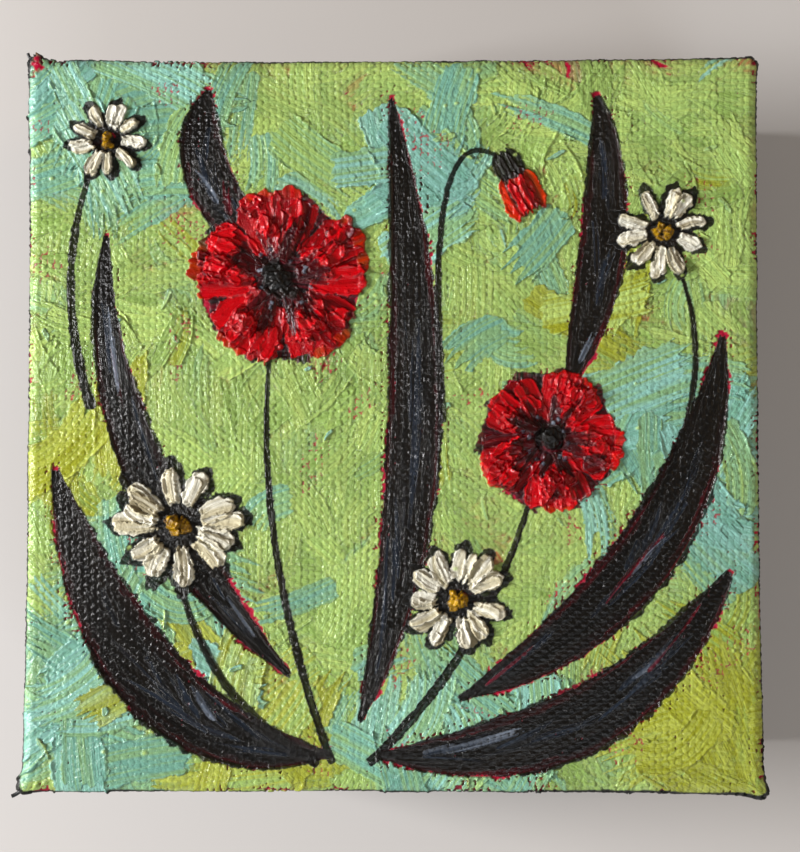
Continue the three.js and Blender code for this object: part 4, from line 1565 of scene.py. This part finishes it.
# %% [markdown]
# ## Staples
#
# Geometry Nodes suit things that repeat. One tree shapes a staple from a straight line: its ends
# bend down into the wood, and a flat rectangle is swept along it. The tree then puts a copy on
# each point of a small mesh, turned as an attribute of the point says, and a little askew, as a
# hand-held staple gun leaves them. That last part is a helper, because the threads need it too.

# %% Helpers for geometry trees
def new_tree(name, sizes):
    """A geometry tree with a geometry input and one number input for each size."""
    made = bpy.data.node_groups.new(name, "GeometryNodeTree")
    made.is_modifier = True
    made.interface.new_socket("Points", in_out="INPUT", socket_type="NodeSocketGeometry")
    for size in sizes:
        made.interface.new_socket(size, in_out="INPUT", socket_type="NodeSocketFloat")
    made.interface.new_socket("Mesh", in_out="OUTPUT", socket_type="NodeSocketGeometry")
    return made, made.nodes.new("NodeGroupInput").outputs, made.nodes.new("NodeGroupOutput").inputs[0]


def grow(name, tree, sizes, places, turns):
    """Runs a tree on points, each with its turn about Z, and gives back the result as a plain mesh."""
    points = bpy.data.meshes.new(name + "_points")
    points.from_pydata([tuple(place * MM for place in spot) for spot in places], [], [])
    points.attributes.new("turn", "FLOAT", "POINT").data.foreach_set("value", turns)
    source = bpy.data.objects.new(name + "_source", points)
    bpy.context.scene.collection.objects.link(source)
    modifier = source.modifiers.new("grow", "NODES")
    modifier.node_group = tree
    sockets = {item.name: item.identifier for item in tree.interface.items_tree if item.in_out == "INPUT"}
    for size, value in sizes.items():
        modifier[sockets[size]] = value
    bpy.context.view_layer.update()
    made = bpy.data.meshes.new_from_object(source.evaluated_get(bpy.context.evaluated_depsgraph_get()))
    bpy.data.objects.remove(source)
    piece = bpy.data.objects.new(name, made)
    bpy.context.scene.collection.objects.link(piece)
    return piece


def sweep(tree, path, profile):
    """A closed profile drawn along a path, with its ends filled."""
    return node(tree, "GeometryNodeCurveToMesh", {"Curve": path, "Profile Curve": profile,
                                                  "Fill Caps": True}).outputs[0]


def copy_to_points(tree, given, result, shape, material, seed, spread, more=None):
    """Puts a shape on every point as real faces, turned as the point says and somewhat at random."""
    turn = node(tree, "GeometryNodeInputNamedAttribute", {"Name": "turn"}, data_type="FLOAT").outputs[0]
    chance = node(tree, "FunctionNodeRandomValue", {"Seed": seed}, data_type="FLOAT").outputs[1]
    lean = calc(tree, "MULTIPLY", calc(tree, "SUBTRACT", chance, 0.5), spread)
    copies = node(tree, "GeometryNodeInstanceOnPoints", {
        "Points": given["Points"], "Instance": shape,
        "Rotation": joined(tree, z=calc(tree, "ADD", turn, lean)), **(more or {})})
    real = node(tree, "GeometryNodeRealizeInstances", {"Geometry": copies.outputs[0]})
    coated = node(tree, "GeometryNodeSetMaterial", {"Geometry": real.outputs[0], "Material": material})
    tree.links.new(coated.outputs[0], result)


# %% Steel
steel, tree, shader = new_material("staple_steel")
place = node(tree, "ShaderNodeTexCoord").outputs["Object"]
zinc, worn_zinc = np.array([0.55, 0.55, 0.56]), np.array([0.40, 0.39, 0.38])
feed(tree, shader, {
    "Base Color": blend(tree, noise(tree, place, 900.0, 3.0), zinc, worn_zinc), "Metallic": 1.0,
    "Roughness": ramp(tree, noise(tree, place, 2500.0, 3.0), 0.3, 0.7, 0.22, 0.42)})

# %% Tree of the staples
tree, given, result = new_tree("staples", ["Crown", "Wire", "Thick", "Askew"])
half_crown = calc(tree, "MULTIPLY", given["Crown"], 0.5)
left, right = (joined(tree, calc(tree, "MULTIPLY", half_crown, sign)) for sign in (-1, 1))
straight = node(tree, "GeometryNodeCurvePrimitiveLine", {"Start": left, "End": right})
fine = node(tree, "GeometryNodeResampleCurve", {"Curve": straight.outputs[0], "Count": 25})
along = split(tree, node(tree, "GeometryNodeInputPosition").outputs[0])["X"]
share = calc(tree, "DIVIDE", calc(tree, "ABSOLUTE", along), half_crown)
drop = calc(tree, "MULTIPLY", given["Crown"], 0.14)
bend = calc(tree, "MULTIPLY", calc(tree, "POWER", share, 14.0), drop)
legs = node(tree, "GeometryNodeSetPosition", {"Geometry": fine.outputs[0], "Offset": joined(tree, z=bend)})
wire = node(tree, "GeometryNodeCurvePrimitiveQuadrilateral", {"Width": given["Thick"],
                                                              "Height": given["Wire"]})
shape = sweep(tree, legs.outputs[0], wire.outputs[0])
copy_to_points(tree, given, result, shape, steel, seed=5, spread=given["Askew"])

# %% Staples in place
STAPLE = {"Crown": 10 * MM, "Wire": 1.2 * MM, "Thick": 0.5 * MM, "Askew": 0.25}
STANDS_OFF = 0.2

staple_names = sorted(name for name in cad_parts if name.startswith("staple"))
places, turns = [], []
for name in staple_names:
    low, high = box_mm(name)
    middle = (low + high) / 2
    places.append((middle[0], middle[1], BACK_Z - STANDS_OFF))
    turns.append(0.0 if high[0] - low[0] > high[1] - low[1] else math.pi / 2)
staples = grow("staples", tree, STAPLE, places, turns)
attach(staples, "root")
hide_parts(*staple_names)
print(f"{len(staple_names)} staples, {len(staples.data.polygons)} faces")

# %% [markdown]
# ## Loose threads
#
# Cut cotton frays. Along the cut edge behind the bars short cream threads stick out. At two corners
# of the face a black, paint-stiffened tip of cloth does. One tree makes both: it bends a line,
# sweeps a circle that thins along it, and puts copies of different sizes on the points.

# %% Tree of the threads
def thread_tree(name, material):
    """A tree of bowed threads that thin to their tips."""
    tree, given, result = new_tree(name, ["Length", "Radius", "Spread"])
    length = given["Length"]
    tip = joined(tree, calc(tree, "MULTIPLY", length, 0.25), length)
    middle = joined(tree, y=calc(tree, "MULTIPLY", length, 0.5), z=calc(tree, "MULTIPLY", length, -0.12))
    bowed = node(tree, "GeometryNodeCurveQuadraticBezier", {"Resolution": 5, "Start": (0, 0, 0),
                                                            "Middle": middle, "End": tip})
    share = node(tree, "GeometryNodeSplineParameter").outputs["Factor"]
    thinning = calc(tree, "SUBTRACT", 1.0, calc(tree, "MULTIPLY", share, 0.7))
    thin = node(tree, "GeometryNodeSetCurveRadius", {"Curve": bowed.outputs[0], "Radius": thinning})
    ring = node(tree, "GeometryNodeCurvePrimitiveCircle", {"Resolution": 6, "Radius": given["Radius"]})
    shape = sweep(tree, thin.outputs[0], ring.outputs[0])
    size = node(tree, "FunctionNodeRandomValue", {2: 0.35, 3: 1.2, "Seed": 8}, data_type="FLOAT").outputs[1]
    copy_to_points(tree, given, result, shape, material, 3, given["Spread"], {"Scale": size})
    return tree


# %% Threads along the cut edge
THREAD_PITCH = 1.1
THREAD = {"Length": 2.2 * MM, "Radius": 0.11 * MM, "Spread": 1.6}

opening = HALF - RETURN_WIDTH
places, turns = [], []
for side in range(4):
    for along in np.arange(-opening + 2, opening - 2, THREAD_PITCH):
        if draw.random() < 0.6:
            spot = np.array([along + draw.uniform(-0.4, 0.4), -opening - 0.1, BACK_Z + 0.2])
            places.append(quarter(spot, side))
            turns.append(side * math.pi / 2)
frayed = grow("frayed_threads", thread_tree("frayed_threads", raw_cotton), THREAD, places, turns)
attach(frayed, "root")
print(f"{len(places)} loose threads")

# %% Black tips at two corners
TIP = {"Length": 2.0 * MM, "Radius": 0.4 * MM, "Spread": 0.3}
TIP_PLACES = [(-49.9, 50.3, 37.2), (-50.6, -50.1, 36.9)]
TIP_TURNS = [0.6, 2.3]

dark_thread, tree, shader = new_material("painted_thread")
feed(tree, shader, {"Base Color": BLACK * 1.2, "Roughness": 0.5})
tips = grow("corner_tips", thread_tree("corner_tips", dark_thread), TIP, TIP_PLACES, TIP_TURNS)
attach(tips, "root")

# %% [markdown]
# ## Floor and light
#
# A plain pale floor, as in a room with one window. The window is a soft light low on the left. A
# cooler one from in front stands for the sky, a weak warm one on the right for what the room sends
# back, and a weak even light comes from all round.

# %% Floor and lights
FLOOR = 900
pale, tree, shader = new_material("pale_floor")
feed(tree, shader, {"Base Color": (0.55, 0.52, 0.50, 1), "Roughness": 0.8})
floor = store("floor", [(-FLOOR, -FLOOR, 0), (FLOOR, -FLOOR, 0), (FLOOR, FLOOR, 0), (-FLOOR, FLOOR, 0)],
              [np.array([[0, 1, 2, 3]])], pale)
floor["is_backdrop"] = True


def soft_light(name, place_mm, size_mm, watts, tint=(1, 1, 1), aim_mm=(0, 0, 30)):
    """A square light, aimed at the object."""
    data = bpy.data.lights.new(name, "AREA")
    data.color = tint
    data.shape = "SQUARE"
    data.size = size_mm * MM
    data.energy = watts
    lamp = bpy.data.objects.new(name, data)
    lamp.location = [value * MM for value in place_mm]
    aim = (np.array(aim_mm) - np.array(place_mm)) * MM
    lamp.rotation_euler = Vector(aim).to_track_quat("-Z", "Y").to_euler()
    bpy.context.scene.collection.objects.link(lamp)


soft_light("window", (-650, 10, 310), 190, 9.8)
soft_light("sky", (160, -620, 460), 500, 2.3, tint=(0.86, 0.93, 1.0))
soft_light("room", (640, 120, 330), 400, 0.7, tint=(1.0, 0.7, 0.42))
world = bpy.data.worlds.new("room")
world.use_nodes = True
feed(world.node_tree, world.node_tree.nodes["Background"], {"Color": (1.0, 0.9, 0.78, 1), "Strength": 0.15})
bpy.context.scene.world = world
bpy.context.scene.view_settings.view_transform = "Standard"

# %% Sizes for the record, and the finish
low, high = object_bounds()
{"cad": [list(cad_low), list(cad_high)], "visual": [list(low), list(high)]}
print("visual box mm", [round(value / MM, 2) for value in (*low, *high)])
